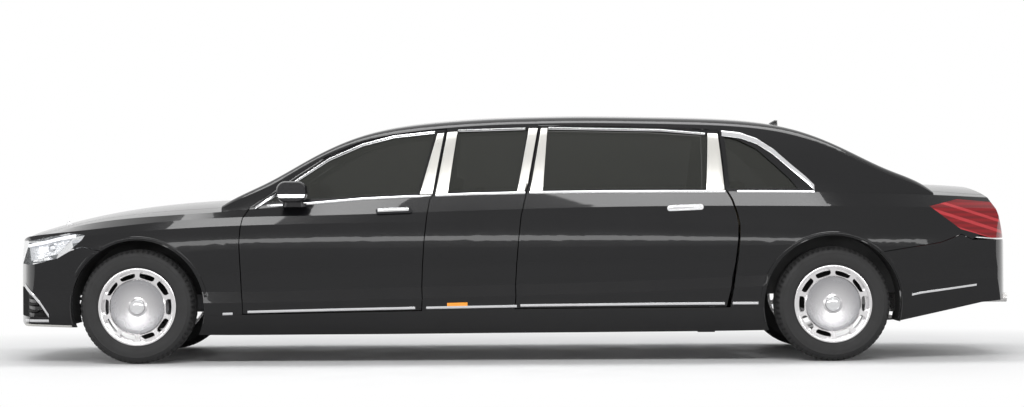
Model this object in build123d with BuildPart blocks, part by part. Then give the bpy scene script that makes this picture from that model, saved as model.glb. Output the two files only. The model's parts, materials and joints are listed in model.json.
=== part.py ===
from build123d import *
from bisect import bisect_left
from collections import namedtuple
from math import atan, atan2, cos, pi, sin
import os

os.makedirs("parts", exist_ok=True)

# Stretch limousine, front towards -X, left side towards -Y, millimetres
# Running gear
wheelbase = 4418
front_overhang = 868
rear_overhang = 1214
tyre_radius = 364
tyre_width = 245
rim_radius = 244
wheel_y = 810
kingpin_inset = 60
rim_windows = 10

# Body
half_width = 949
ground_clearance = 180
roof_z = 1591
body_skin = 36
door_wall = 95
roof_wall = 42
glass_thickness = 6
glass_inset = 9
glass_gap = 0.4
shut_gap = 6
seam = 0.4
hub_gap = 0.3
door_shear = 0.2

# Named places along the car
nose_x = -(wheelbase + front_overhang + rear_overhang) / 2
tail_x = -nose_x
front_wheel_x = nose_x + front_overhang
rear_wheel_x = tail_x - rear_overhang
cowl_x = front_wheel_x + 612
windscreen_top_x = front_wheel_x + 1409
rear_glass_top_x = rear_wheel_x - 300
rear_glass_foot_x = rear_wheel_x + 560
front_door_x = front_wheel_x + 663
pillar_1_x = front_wheel_x + 1821
pillar_2_x = rear_wheel_x - 1997
rear_door_x = rear_wheel_x - 596

# Arches
front_arch_radius = 424
rear_arch_radius = 436
front_well_y = 452
rear_well_y = 655

# Lower body sections: heights of the edges and how far each lies inside the half width
Station = namedtuple(
    "Station",
    "x half_width sill strip lip wide crease shoulder shoulder_in belt belt_in crown lip_in hollow_in",
)
station_start = nose_x - 70
station_step = (tail_x - nose_x + 130) / 13
stations = [
    Station(station_start + station_step * i, *row)
    for i, row in enumerate((
        (790, 190, 300, 400, 560, 735, 752, 50, 768, 230, 775, 14, 10),
        (897, 190, 302, 399, 631, 806, 844, 43, 874, 182, 927, 14, 10),
        (943, 186, 304, 391, 692, 850, 897, 35, 937, 111, 1011, 15, 16),
        (946, 180, 305, 388, 728, 876, 929, 31, 969, 65, 1045, 17, 27),
        (947, 181, 313, 395, 734, 888, 939, 28, 1011, 56, 1057, 18, 31),
        (948, 182, 325, 408, 735, 894, 952, 27, 1047, 54, 1070, 18, 33),
        (949, 185, 336, 419, 735, 897, 967, 27, 1069, 54, 1088, 18, 34),
        (949, 187, 343, 431, 735, 896, 980, 27, 1080, 54, 1097, 18, 34),
        (949, 189, 349, 445, 737, 892, 988, 27, 1083, 54, 1100, 18, 34),
        (949, 192, 353, 464, 739, 879, 990, 28, 1082, 54, 1101, 18, 31),
        (948, 199, 357, 486, 740, 862, 987, 31, 1077, 58, 1107, 17, 24),
        (936, 214, 368, 500, 733, 852, 981, 37, 1067, 82, 1122, 14, 12),
        (890, 244, 395, 510, 717, 849, 972, 43, 1048, 125, 1124, 14, 10),
        (800, 291, 436, 520, 700, 840, 950, 50, 1025, 168, 1071, 14, 10),
    ))
]

# Greenhouse sections: crown height, drop to the cant rail, run of the rail's round
RoofStation = namedtuple("RoofStation", "x crown drop run")
roof_start = front_wheel_x + 532
roof_step = (rear_wheel_x + 664 - roof_start) / 16
roof_stations = [
    RoofStation(roof_start + roof_step * i, roof_z - row[0], row[1], row[2])
    for i, row in enumerate((
        (576, 24, 60), (425, 45, 61), (260, 55, 65), (129, 60, 73), (61, 62, 84), (29, 62, 90), (11, 62, 92),
        (3, 62, 92), (0, 62, 92), (3, 62, 92), (9, 62, 92), (18, 62, 92), (39, 62, 90), (95, 62, 82),
        (212, 59, 71), (355, 51, 63), (503, 25, 60),
    ))
]


def station_value(x, name):
    places = [s.x for s in stations]
    i = max(1, min(len(stations) - 1, bisect_left(places, x)))
    a = stations[i - 1]
    b = stations[i]
    share = (x - a.x) / (b.x - a.x)
    return getattr(a, name) * (1 - share) + getattr(b, name) * share


def lean(rise):
    return 0.36 * rise + 0.00052 * rise * rise


# Solid lower body, moved inwards by an inset
def lower_body(inset):
    with BuildPart() as body:
        for s in stations:
            w = s.half_width - inset
            half = [
                (w - 90, s.sill + inset),
                (w - 46, s.strip),
                (w - s.lip_in, s.lip),
                (w - s.hollow_in, s.lip + 70),
                (w, s.wide),
                (w - 14, s.crease),
                (w - s.shoulder_in, s.shoulder - 0.3 * inset),
                (w - s.belt_in, s.belt - 0.5 * inset),
            ]
            with BuildSketch(Plane.YZ.offset(s.x)):
                with BuildLine():
                    for side in (1, -1):
                        p = [(side * y, z) for y, z in half]
                        Line(p[0], p[1])
                        Line(p[1], p[2])
                        Line(p[2], p[3])
                        TangentArc(p[4], p[3], tangent=(0, -1))
                        TangentArc(p[4], p[5], tangent=(0, 1))
                        Line(p[5], p[6])
                        Line(p[6], p[7])
                    Line((-half[0][0], half[0][1]), half[0])
                    ThreePointArc(half[-1], (0, s.crown - inset), (-half[-1][0], half[-1][1]))
                make_face()
        loft()
        extrude(profile_mask(inset), amount=1200, both=True, mode=Mode.INTERSECT)
        extrude(plan_mask(inset), amount=1300, mode=Mode.INTERSECT)
    return body.part


# Side view of the nose and tail
def profile_mask(inset):
    n = nose_x + inset
    t = tail_x - inset
    with BuildSketch(Plane.XZ) as face:
        with BuildLine():
            nose = Polyline(
                (n + 300, 150), (n + 70, 212), (n + 12, 400), (n, 500), (n + 42, 590), (n + 98, 775)
            )
            bonnet_lip = TangentArc(nose @ 1, (n + 235, 900), tangent=(0.28, 0.96))
            Line(bonnet_lip @ 1, (n + 300, 1750))
            Line((n + 300, 1750), (t - 400, 1750))
            Line((t - 400, 1750), (t - 272, 1140))
            boot_lip = Line((t - 272, 1140), (t - 205, 1062))
            Polyline(
                boot_lip @ 1, (t - 150, 950), (t - 92, 768), (t - 55, 732), (t - 22, 626), (t, 460),
                (t - 14, 400), (t - 60, 335), (t - 500, 150), (n + 300, 150),
            )
        make_face()
    return face.sketch


# Plan view with the bowed nose and tail
def plan_mask(inset):
    n = nose_x + inset
    t = tail_x - inset
    w = half_width - inset + 40
    with BuildSketch(Plane.XY.offset(100)) as face:
        with BuildLine():
            nose = ThreePointArc((n + 120, -700), (n, 0), (n + 120, 700))
            left = TangentArc(nose @ 0, (n + 640, -w), tangent=-(nose % 0))
            right = TangentArc(nose @ 1, (n + 640, w), tangent=nose % 1)
            tail = ThreePointArc((t - 95, -700), (t, 0), (t - 95, 700))
            rear_left = TangentArc(tail @ 0, (t - 620, -w), tangent=-(tail % 0))
            rear_right = TangentArc(tail @ 1, (t - 620, w), tangent=tail % 1)
            Line(left @ 1, rear_left @ 1)
            Line(right @ 1, rear_right @ 1)
        make_face()
    return face.sketch


# Solid greenhouse, moved inwards by an inset
def greenhouse(inset):
    with BuildPart() as house:
        for g in roof_stations:
            foot_y = station_value(g.x, "half_width") - station_value(g.x, "belt_in") - 8
            foot_z = station_value(g.x, "belt")
            rise = g.crown - g.drop - foot_z
            rail_y = foot_y - lean(rise) - inset
            mid_y = foot_y - lean(rise / 2) - inset
            rail_z = foot_z + rise
            round_y = rail_y - g.run
            round_z = g.crown - inset - 0.35 * (g.drop - 0.5 * inset)
            bend = 2 * atan((g.crown - inset - round_z) / round_y)
            foot_y = foot_y - inset
            with BuildSketch(Plane.YZ.offset(g.x)):
                with BuildLine():
                    for side in (1, -1):
                        Line((side * (foot_y - 30), foot_z - 140), (side * foot_y, foot_z))
                        ThreePointArc(
                            (side * foot_y, foot_z),
                            (side * mid_y, foot_z + rise / 2 - 0.25 * inset),
                            (side * rail_y, rail_z - 0.5 * inset),
                        )
                        TangentArc(
                            (side * round_y, round_z),
                            (side * rail_y, rail_z - 0.5 * inset),
                            tangent=(side * cos(bend), -sin(bend)),
                        )
                    Line((-(foot_y - 30), foot_z - 140), (foot_y - 30, foot_z - 140))
                    ThreePointArc((round_y, round_z), (0, g.crown - inset), (-round_y, round_z))
                make_face()
        loft()
    return house.part


# Prism of a side view outline from one depth to another
def side_prism(points, y_near, y_far, shear=0.0):
    with BuildPart() as prism:
        with BuildSketch(Plane.XZ.offset(-y_near)):
            with BuildLine():
                Polyline(*points, close=True)
            make_face()
        extrude(amount=y_far - y_near, dir=(-shear, 1, 0))
    return prism.part


# Prism of a plan outline between two heights
def plan_prism(points, z_low, z_high):
    with BuildPart() as prism:
        with BuildSketch(Plane.XY.offset(z_low)):
            with BuildLine():
                Polyline(*points, close=True)
            make_face()
        extrude(amount=z_high - z_low)
    return prism.part


# Depth of the left skin at a height, and the drawn x of a sheared shut line
def skin_y(z):
    if z < 1060:
        return -half_width + 54 * max(0, z - 740) / 320
    return -half_width + 54 + lean(z - 1060)


def drawn(points):
    return [(x + door_shear * (skin_y(z) + half_width), z) for x, z in points]


def grown(points, amount):
    with BuildSketch() as face:
        with BuildLine():
            Polyline(*points, close=True)
        make_face()
        offset(amount=amount, kind=Kind.INTERSECTION)
    return [(e.position_at(0).X, e.position_at(0).Y) for e in face.sketch.faces()[0].outer_wire().order_edges()]


# Shut lines and the window band, side view
strip_front_z = 318
strip_rear_z = 350
door_front_edge = [
    (front_door_x + 27, strip_front_z), (front_door_x + 16, 503), (front_door_x + 6, 661),
    (front_door_x, 765), (front_door_x + 6, 860), (front_door_x + 21, 923), (front_door_x + 72, 990),
]
window_line = [
    (front_wheel_x + 902, 1099), (front_wheel_x + 1022, 1185), (front_wheel_x + 1209, 1309),
    (front_wheel_x + 1419, 1402), (front_wheel_x + 1632, 1456), (front_wheel_x + 1917, 1486),
]
pillar_1_top = [(pillar_1_x + 148, 1491)]
pillar_1_line = [
    (pillar_1_x + 67, 1065), (pillar_1_x + 45, 1040), (pillar_1_x + 24, 929), (pillar_1_x + 8, 771),
    (pillar_1_x, 613), (pillar_1_x, 336),
]
pillar_2_line = [
    (pillar_2_x, 346), (pillar_2_x, 440), (pillar_2_x + 3, 617), (pillar_2_x + 13, 774),
    (pillar_2_x + 29, 931), (pillar_2_x + 55, 1037), (pillar_2_x + 65, 1075), (pillar_2_x + 148, 1512),
]
rear_door_top = [(rear_wheel_x - 1076, 1497), (rear_wheel_x - 700, 1472)]
rear_door_edge = [
    (rear_door_x - 79, 1095), (rear_door_x - 42, 1032), (rear_door_x - 11, 938), (rear_door_x + 2, 875),
    (rear_door_x, 780), (rear_door_x - 16, 623), (rear_door_x - 34, 500), (rear_door_x - 60, strip_rear_z),
]
front_door_outline = door_front_edge + window_line + pillar_1_top + pillar_1_line
rear_door_outline = pillar_2_line + rear_door_top + rear_door_edge

front_window = [
    (front_door_x + 130, 1023), (front_door_x + 330, 1040), (front_door_x + 1120, 1076),
    (front_door_x + 1225, 1468), (front_door_x + 960, 1440), (front_door_x + 760, 1388),
    (front_door_x + 550, 1296), (front_door_x + 365, 1174), (front_door_x + 245, 1088),
]
middle_window = [
    (pillar_1_x + 155, 1084), (pillar_2_x - 7, 1090), (pillar_2_x + 62, 1490), (pillar_1_x + 215, 1478),
]
rear_window_side = [
    (pillar_2_x + 160, 1094), (rear_door_x - 210, 1096), (rear_door_x - 182, 1450),
    (rear_wheel_x - 1076, 1476), (pillar_2_x + 193, 1492),
]
quarter_window = [
    (rear_door_x - 55, 1098), (rear_door_x + 379, 1098), (rear_door_x + 328, 1162),
    (rear_door_x + 230, 1258), (rear_door_x + 130, 1353), (rear_door_x + 20, 1412),
    (rear_door_x - 74, 1443),
]

# Master bodies
outer_low = lower_body(0)
skin_low = lower_body(body_skin)
wall_low = lower_body(door_wall)
outer_top = greenhouse(0)
wall_top = greenhouse(roof_wall)
glass_out = greenhouse(glass_inset)
glass_in = greenhouse(glass_inset + glass_thickness)

with BuildPart() as outer:
    add(outer_low)
    add(outer_top)
with BuildPart() as hollow:
    add(wall_low)
    add(wall_top)


# Part of a wall: what lies in a region between an outer and an inner body
def wall_piece(region, outer_body, inner_body):
    with BuildPart() as piece:
        add(outer_body)
        add(region, mode=Mode.INTERSECT)
        add(inner_body, mode=Mode.SUBTRACT)
    return piece.part


# Wheel wells
def well(x, radius, inner_y):
    with BuildPart() as space:
        for side in (1, -1):
            with BuildSketch(Plane.XZ.offset(-side * inner_y)):
                with Locations((x, tyre_radius)):
                    Circle(radius)
            extrude(amount=-side * (1100 - inner_y))
    return space.part


front_well = well(front_wheel_x, front_arch_radius, front_well_y)
rear_well = well(rear_wheel_x, rear_arch_radius, rear_well_y)

# Zone of the left side wall, clear of the cowl and the roof
with BuildPart() as side_zone:
    with BuildSketch(Plane.YZ.offset(nose_x)):
        with BuildLine():
            Polyline((-1100, 150), (-780, 150), (-780, 1085), (-500, 1620), (-1100, 1620), close=True)
        make_face()
    extrude(amount=tail_x - nose_x)


# Left side doors
def door(outline, window):
    with BuildPart() as region:
        add(side_prism(drawn(outline), -1000, -380, door_shear))
        add(side_zone.part, mode=Mode.INTERSECT)
        add(side_prism(window, -1000, -380), mode=Mode.SUBTRACT)
    return wall_piece(region.part, outer.part, hollow.part)


with BuildPart() as door_front_left:
    add(door(front_door_outline, front_window))
with BuildPart() as door_rear_left:
    add(door(rear_door_outline, rear_window_side))
with BuildPart() as door_front_right:
    mirror(door_front_left.part, about=Plane.XZ)
with BuildPart() as door_rear_right:
    mirror(door_rear_left.part, about=Plane.XZ)

# Space that each left door leaves in the body, both sides
with BuildPart() as door_space:
    for outline in (front_door_outline, rear_door_outline):
        add(side_prism(drawn(grown(outline, shut_gap)), -1000, -380, door_shear))
    add(side_zone.part, mode=Mode.INTERSECT)
    mirror(about=Plane.XZ)

# Glass panes follow the greenhouse skin
def pane(window):
    return wall_piece(side_prism(grown(window, -glass_gap), -1000, -380), glass_out, glass_in)


with BuildPart() as glass_front_left:
    add(pane(front_window))
with BuildPart() as glass_rear_left:
    add(pane(rear_window_side))
with BuildPart() as glass_front_right:
    mirror(glass_front_left.part, about=Plane.XZ)
with BuildPart() as glass_rear_right:
    mirror(glass_rear_left.part, about=Plane.XZ)
with BuildPart() as fixed_side_glass:
    add(pane(middle_window))
    add(pane(quarter_window))
    mirror(about=Plane.XZ)


def plan_outline(half):
    return half + [(x, -y) for x, y in reversed(half)]


def two_sides(points):
    with BuildPart() as prism:
        add(side_prism(points, -1000, -380))
        mirror(about=Plane.XZ)
    return prism.part


# Windscreen and rear window openings in plan
windscreen_outline = plan_outline([(cowl_x - 40, 640), (cowl_x + 60, 735), (windscreen_top_x + 10, 545)])
rear_window_outline = plan_outline([(rear_glass_top_x + 40, 540), (rear_glass_foot_x - 70, 640)])

with BuildPart() as windscreen:
    add(wall_piece(plan_prism(grown(windscreen_outline, -glass_gap), 1030, 1700), glass_out, glass_in))
    add(outer_low, mode=Mode.SUBTRACT)
with BuildPart() as rear_window:
    add(wall_piece(plan_prism(grown(rear_window_outline, -glass_gap), 1030, 1700), glass_out, glass_in))
    add(outer_low, mode=Mode.SUBTRACT)

# Bonnet and boot lid outlines in plan, and the space that each takes up when it lifts
bonnet_end_x = roof_stations[0].x - 10
bonnet_outline = plan_outline([(nose_x - 10, 470), (nose_x + 200, 545), (nose_x + 700, 640), (bonnet_end_x, 702)])
boot_outline = plan_outline([(rear_glass_foot_x + 20, 640), (rear_glass_foot_x + 320, 640), (tail_x + 10, 545)])
bonnet_low_z = 776
boot_low_z = 772
bonnet_space = plan_prism(grown(bonnet_outline, shut_gap), bonnet_low_z - shut_gap, 1300)
boot_space = plan_prism(grown(boot_outline, shut_gap), boot_low_z - shut_gap, 1300)

# Roof with its pillars and rails
with BuildPart() as roof_panel:
    add(outer_top)
    add(outer_low, mode=Mode.SUBTRACT)
    add(wall_top, mode=Mode.SUBTRACT)
    for outline in (windscreen_outline, rear_window_outline):
        add(plan_prism(outline, 1000, 1700), mode=Mode.SUBTRACT)
    add(door_space.part, mode=Mode.SUBTRACT)
    for window in (middle_window, quarter_window):
        add(two_sides(window), mode=Mode.SUBTRACT)
    add(boot_space, mode=Mode.SUBTRACT)

sill_top = [
    (front_wheel_x + 300, 304), (front_door_x + 27, 312), (pillar_1_x, 330), (pillar_2_x, 340),
    (rear_door_x - 60, 344), (rear_wheel_x - 300, 350),
]


with BuildPart() as bonnet:
    add(wall_piece(plan_prism(bonnet_outline, bonnet_low_z, 1300), outer_low, skin_low))
with BuildPart() as boot_lid:
    add(wall_piece(plan_prism(boot_outline, boot_low_z, 1300), outer_low, skin_low))

# Lamps, side view
headlamp_outline = [
    (nose_x - 10, 640), (nose_x + 186, 636), (nose_x + 260, 651), (nose_x + 352, 673), (nose_x + 433, 720),
    (nose_x + 515, 791), (nose_x + 535, 822), (nose_x + 430, 834), (nose_x + 315, 812), (nose_x + 207, 792),
    (nose_x - 10, 770),
]
tail_lamp_outline = [
    (rear_wheel_x + 624, 981), (rear_wheel_x + 814, 1025), (tail_x + 10, 990), (tail_x + 10, 776),
    (rear_wheel_x + 1024, 776), (rear_wheel_x + 820, 834),
]
lamp_y = 470
with BuildPart() as lamp_zone:
    with BuildSketch(Plane.YZ.offset(nose_x - 10)):
        with Locations((-780, 700), (780, 700)):
            Rectangle(2 * (780 - lamp_y), 1200)
    extrude(amount=tail_x - nose_x + 20)


def lamps(outline, moving_space):
    with BuildPart() as region:
        add(two_sides(outline))
        add(lamp_zone.part, mode=Mode.INTERSECT)
        add(moving_space, mode=Mode.SUBTRACT)
    return wall_piece(region.part, outer_low, wall_low)


with BuildPart() as headlamps:
    add(lamps(headlamp_outline, bonnet_space))
with BuildPart() as tail_lamps:
    add(lamps(tail_lamp_outline, boot_space))


def lamp_space(outline):
    with BuildPart() as space:
        add(two_sides(grown(outline, seam)))
        add(lamp_zone.part, mode=Mode.INTERSECT)
    return space.part


headlamp_space = lamp_space(headlamp_outline)
tail_lamp_space = lamp_space(tail_lamp_outline)

# Bumper joints, side view
front_bumper_line = [
    (nose_x - 10, 636), (nose_x + 186, 634), (nose_x + 260, 649), (nose_x + 352, 671), (nose_x + 433, 718),
    (nose_x + 513, 744), (nose_x + 680, 709), (nose_x + 690, 400),
]
rear_bumper_line = [
    (tail_x - 920, 400), (tail_x - 917, 688), (tail_x - 525, 749), (tail_x - 389, 800), (tail_x - 320, 766),
    (tail_x + 10, 766),
]

# Lower edges of the bumpers, side view
front_under_line = [
    (nose_x - 10, 100), (nose_x - 10, 274), (nose_x + 110, 240), (nose_x + 430, 232), (nose_x + 710, 232),
    (nose_x + 710, 100),
]
rear_under_line = [
    (tail_x - 930, 100), (tail_x - 930, 242), (tail_x - 797, 249), (tail_x - 250, 366), (tail_x + 10, 392),
    (tail_x + 10, 100),
]

# Air intakes in the front bumper: one on each corner and one in the middle
corner_intake_outline = [
    (nose_x - 10, 484), (nose_x + 106, 486), (nose_x + 183, 431), (nose_x + 232, 375), (nose_x + 284, 300),
    (nose_x - 10, 300),
]
middle_intake_outline = [(nose_x - 10, 402), (nose_x + 150, 402), (nose_x + 150, 300), (nose_x - 10, 300)]
intake_half_width = 400
intake_lap = 14
louvre_heights = (332, 376, 420)
louvre_slot = 24


def intakes(lap):
    with BuildPart() as space:
        add(two_sides(grown(corner_intake_outline, lap)))
        add(lamp_zone.part, mode=Mode.INTERSECT)
        add(side_prism(grown(middle_intake_outline, lap), -intake_half_width - lap, intake_half_width + lap))
    return space.part


with BuildPart() as bumper_face:
    add(wall_piece(
        side_prism(front_bumper_line + [(nose_x + 700, 150), (nose_x - 10, 150)], -1000, 1000), outer_low, skin_low
    ))
    add(front_well, mode=Mode.SUBTRACT)
    add(headlamp_space, mode=Mode.SUBTRACT)
    add(side_prism(front_under_line, -1000, 1000), mode=Mode.SUBTRACT)
    add(intakes(0), mode=Mode.SUBTRACT)
with BuildPart() as rear_bumper:
    add(wall_piece(
        side_prism(rear_bumper_line + [(tail_x + 10, 150), (tail_x - 900, 150)], -1000, 1000), outer_low, skin_low
    ))
    add(rear_well, mode=Mode.SUBTRACT)
    add(tail_lamp_space, mode=Mode.SUBTRACT)
    add(side_prism(rear_under_line, -1000, 1000), mode=Mode.SUBTRACT)

# Air intakes: louvred inserts seated behind the bumper openings
with BuildPart() as front_intakes:
    add(wall_piece(intakes(intake_lap), skin_low, wall_low))
    with BuildSketch(Plane.YZ.offset(nose_x - 10)):
        for z in louvre_heights:
            with Locations((0, z)):
                Rectangle(2 * (intake_half_width - 30), louvre_slot)
            with Locations((-690, z), (690, z)):
                Rectangle(320, louvre_slot)
    extrude(amount=700, mode=Mode.SUBTRACT)

# Grille: a frame with bars in the nose above the bumper
grille_half = 405
with BuildPart() as grille_frame:
    with BuildSketch(Plane.YZ.offset(nose_x - 10)) as opening:
        with BuildLine():
            Polyline(
                (-grille_half, 768), (grille_half, 768), (grille_half - 62, 590), (-grille_half + 62, 590), close=True
            )
        make_face()
    extrude(amount=400)
with BuildPart() as grille_hole:
    with BuildSketch(Plane.YZ.offset(nose_x - 10)):
        with BuildLine():
            Polyline(
                (-grille_half + 30, 748), (grille_half - 30, 748), (grille_half - 78, 612), (-grille_half + 78, 612),
                close=True,
            )
        make_face()
        for z in (634, 664, 694, 724):
            with Locations((0, z)):
                Rectangle(2 * grille_half, 9, mode=Mode.SUBTRACT)
        with Locations((0, 680)):
            Rectangle(14, 400, mode=Mode.SUBTRACT)
    extrude(amount=400)
with BuildPart() as grille:
    add(wall_piece(grille_frame.part, outer_low, skin_low))
    add(grille_hole.part, mode=Mode.SUBTRACT)

# Nose panel between the grille and the lamps belongs to the bumper
with BuildPart() as nose_panel:
    add(wall_piece(side_prism(
        [(nose_x - 10, 600), (nose_x - 10, 770), (nose_x + 260, 770), (nose_x + 260, 600)], -lamp_y, lamp_y
    ), outer_low, skin_low))
with BuildPart() as front_bumper:
    add(bumper_face.part)
    add(nose_panel.part)
    add(grille_frame.part, mode=Mode.SUBTRACT)

# Cowl between the bonnet and the windscreen
with BuildPart() as cowl_zone:
    with BuildSketch(Plane.XY.offset(900)):
        with Locations(((bonnet_end_x + cowl_x + 110) / 2, 0)):
            Rectangle(cowl_x + 110 - bonnet_end_x, 2 * 640)
    extrude(amount=300)

# Front fenders
with BuildPart() as front_fenders:
    add(wall_piece(two_sides(
        [(nose_x + 690, 400), (nose_x + 684, 714), (nose_x + 514, 749), (nose_x + 430, 728), (nose_x + 300, 772),
         (nose_x + 60, 772), (nose_x + 60, 1200), (front_door_x + 66, 1200), (front_door_x + 66, 992)]
        + [(x - shut_gap, z) for x, z in reversed(door_front_edge[:-1])]
        + [(front_door_x + 21, 312 + seam), (front_wheel_x + 300, 304 + seam)]
    ), outer_low, skin_low))
    add(front_well, mode=Mode.SUBTRACT)
    add(headlamp_space, mode=Mode.SUBTRACT)
    add(bonnet_space, mode=Mode.SUBTRACT)
    add(door_space.part, mode=Mode.SUBTRACT)
    add(cowl_zone.part, mode=Mode.SUBTRACT)
with BuildPart() as cowl_panel:
    add(wall_piece(cowl_zone.part, outer_low, skin_low))
    add(bonnet_space, mode=Mode.SUBTRACT)

# Rear quarter panels
with BuildPart() as rear_quarters:
    add(wall_piece(two_sides(
        [(rear_wheel_x - 300, 350 + seam), (rear_door_x - 54, 344 + seam)]
        + [(x + shut_gap, z) for x, z in reversed(rear_door_edge[:-1])]
        + [(rear_door_x - 79 + shut_gap, 1200), (tail_x - 100, 1200), (tail_x - 60, 900), (tail_x - 320, 770),
           (tail_x - 389, 804), (tail_x - 526, 753), (tail_x - 920, 692), (tail_x - 923, 400)]
    ), outer_low, skin_low))
    add(rear_well, mode=Mode.SUBTRACT)
    add(tail_lamp_space, mode=Mode.SUBTRACT)
    add(boot_space, mode=Mode.SUBTRACT)
    with BuildSketch(Plane.XY.offset(700)):
        with Locations((rear_glass_foot_x + 13 - 750, 0)):
            Rectangle(1500, 2 * 660)
    extrude(amount=600, mode=Mode.SUBTRACT)

# Fixed side panels between the doors
with BuildPart() as side_zones:
    add(side_zone.part)
    mirror(about=Plane.XZ)
with BuildPart() as middle_panels:
    add(two_sides(
        [(pillar_1_x - 20, 330 + seam), (pillar_1_x, 330 + seam), (pillar_2_x, 340 + seam),
         (pillar_2_x + 20, 340 + seam), (pillar_2_x + 200, 1200), (pillar_1_x - 100, 1200)]
    ))
    add(side_zones.part, mode=Mode.INTERSECT)
    add(outer_low, mode=Mode.INTERSECT)
    add(wall_low, mode=Mode.SUBTRACT)
    add(door_space.part, mode=Mode.SUBTRACT)

# Sills: solid beams under the doors
with BuildPart() as sills:
    add(outer_low)
    add(two_sides(
        [(front_wheel_x + 300, 150), (rear_wheel_x - 300, 150)] + list(reversed(sill_top))
    ), mode=Mode.INTERSECT)
    with BuildSketch(Plane.XY.offset(100)):
        with Locations((0, 850), (0, -850)):
            Rectangle(6000, 2 * (850 - 700))
    extrude(amount=400, mode=Mode.INTERSECT)
    add(front_well, mode=Mode.SUBTRACT)
    add(rear_well, mode=Mode.SUBTRACT)

# Door seals: strips on the sills, just inside the closed doors
seal_height = 14
with BuildPart() as seal_zone:
    for x_from, x_to in ((front_door_x + 60, pillar_1_x - 40), (pillar_2_x + 40, rear_door_x - 90)):
        with BuildSketch(Plane.XY.offset(200)):
            with Locations(((x_from + x_to) / 2, -840)):
                Rectangle(x_to - x_from, 60)
        extrude(amount=400)
with BuildPart() as left_seals:
    add(wall_low.moved(Location((0, hub_gap, 0))))
    add(side_prism(
        [(x, z) for x, z in sill_top] + [(x, z + seal_height) for x, z in reversed(sill_top)], -1000, -380
    ), mode=Mode.INTERSECT)
    add(seal_zone.part, mode=Mode.INTERSECT)
with BuildPart() as door_seals:
    add(left_seals.part)
    mirror(about=Plane.XZ)

# Antenna fin on the roof
antenna_x = rear_wheel_x - 300
with BuildPart() as antenna_fin:
    for side in (1, -1):
        with BuildSketch(Plane.XZ.offset(side * 0)):
            with BuildLine():
                Polyline(
                    (antenna_x - 52, 1500), (antenna_x + 6, 1548), (antenna_x + 34, 1563), (antenna_x + 52, 1562),
                    (antenna_x + 56, 1500), close=True,
                )
            make_face()
        extrude(amount=side * 22, taper=16)
    add(outer_top, mode=Mode.SUBTRACT)


# Door fittings: the pull handles, and a mirror on each front door
handle_reach = 30
handle_height = 36
mirror_x = front_door_x + 330
mirror_y = -935
mirror_z = 1090


def handle(x_from, x_to, z_from, z_to):
    skin = skin_y((z_from + z_to) / 2)
    angle = atan2(z_to - z_from, x_to - x_from) * 180 / pi
    middle = Location(((x_from + x_to) / 2, (z_from + z_to) / 2, 0), (0, 0, angle))
    with BuildPart() as grip:
        with BuildSketch(Plane.XZ.offset(-skin - 40)):
            with Locations(middle):
                RectangleRounded(x_to - x_from, handle_height, handle_height / 2.1)
        extrude(amount=40 + handle_reach)
        with BuildSketch(Plane.XZ.offset(-skin - 60)):
            with Locations(middle):
                Rectangle(x_to - x_from - 70, 2 * handle_height)
        extrude(amount=60 + handle_reach / 2, mode=Mode.SUBTRACT)
        add(outer_low, mode=Mode.SUBTRACT)
    return grip.part


with BuildPart() as handle_rear_left:
    add(handle(pillar_2_x + 945, pillar_2_x + 1175, 975, 984))
with BuildPart() as handle_rear_right:
    mirror(handle_rear_left.part, about=Plane.XZ)

with BuildPart() as mirror_shell:
    for y, width, height in ((mirror_y, 120, 80), (mirror_y - 40, 190, 128), (mirror_y - 110, 176, 118)):
        with BuildSketch(Plane.XZ.offset(-y)):
            with Locations((mirror_x, mirror_z)):
                RectangleRounded(width, height, 0.45 * height)
    loft()
with BuildPart() as mirror_foot:
    for z, depth, width in ((mirror_z - 96, 70, 130), (mirror_z - 50, 34, 110)):
        with BuildSketch(Plane.XY.offset(z)):
            with Locations((mirror_x + 10, mirror_y - 40 + depth / 2)):
                RectangleRounded(width, depth, 14)
    loft()
    with BuildSketch(Plane.XY.offset(mirror_z - 96)):
        with Locations((mirror_x + 10, mirror_y + 30)):
            RectangleRounded(150, 90, 14)
    extrude(amount=26)
    add(outer.part, mode=Mode.SUBTRACT)
with BuildPart() as door_fittings_left:
    add(handle(front_door_x + 856, front_door_x + 1087, 965, 972))
    add(mirror_shell.part)
    add(mirror_foot.part)
with BuildPart() as door_fittings_right:
    mirror(door_fittings_left.part, about=Plane.XZ)

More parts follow.
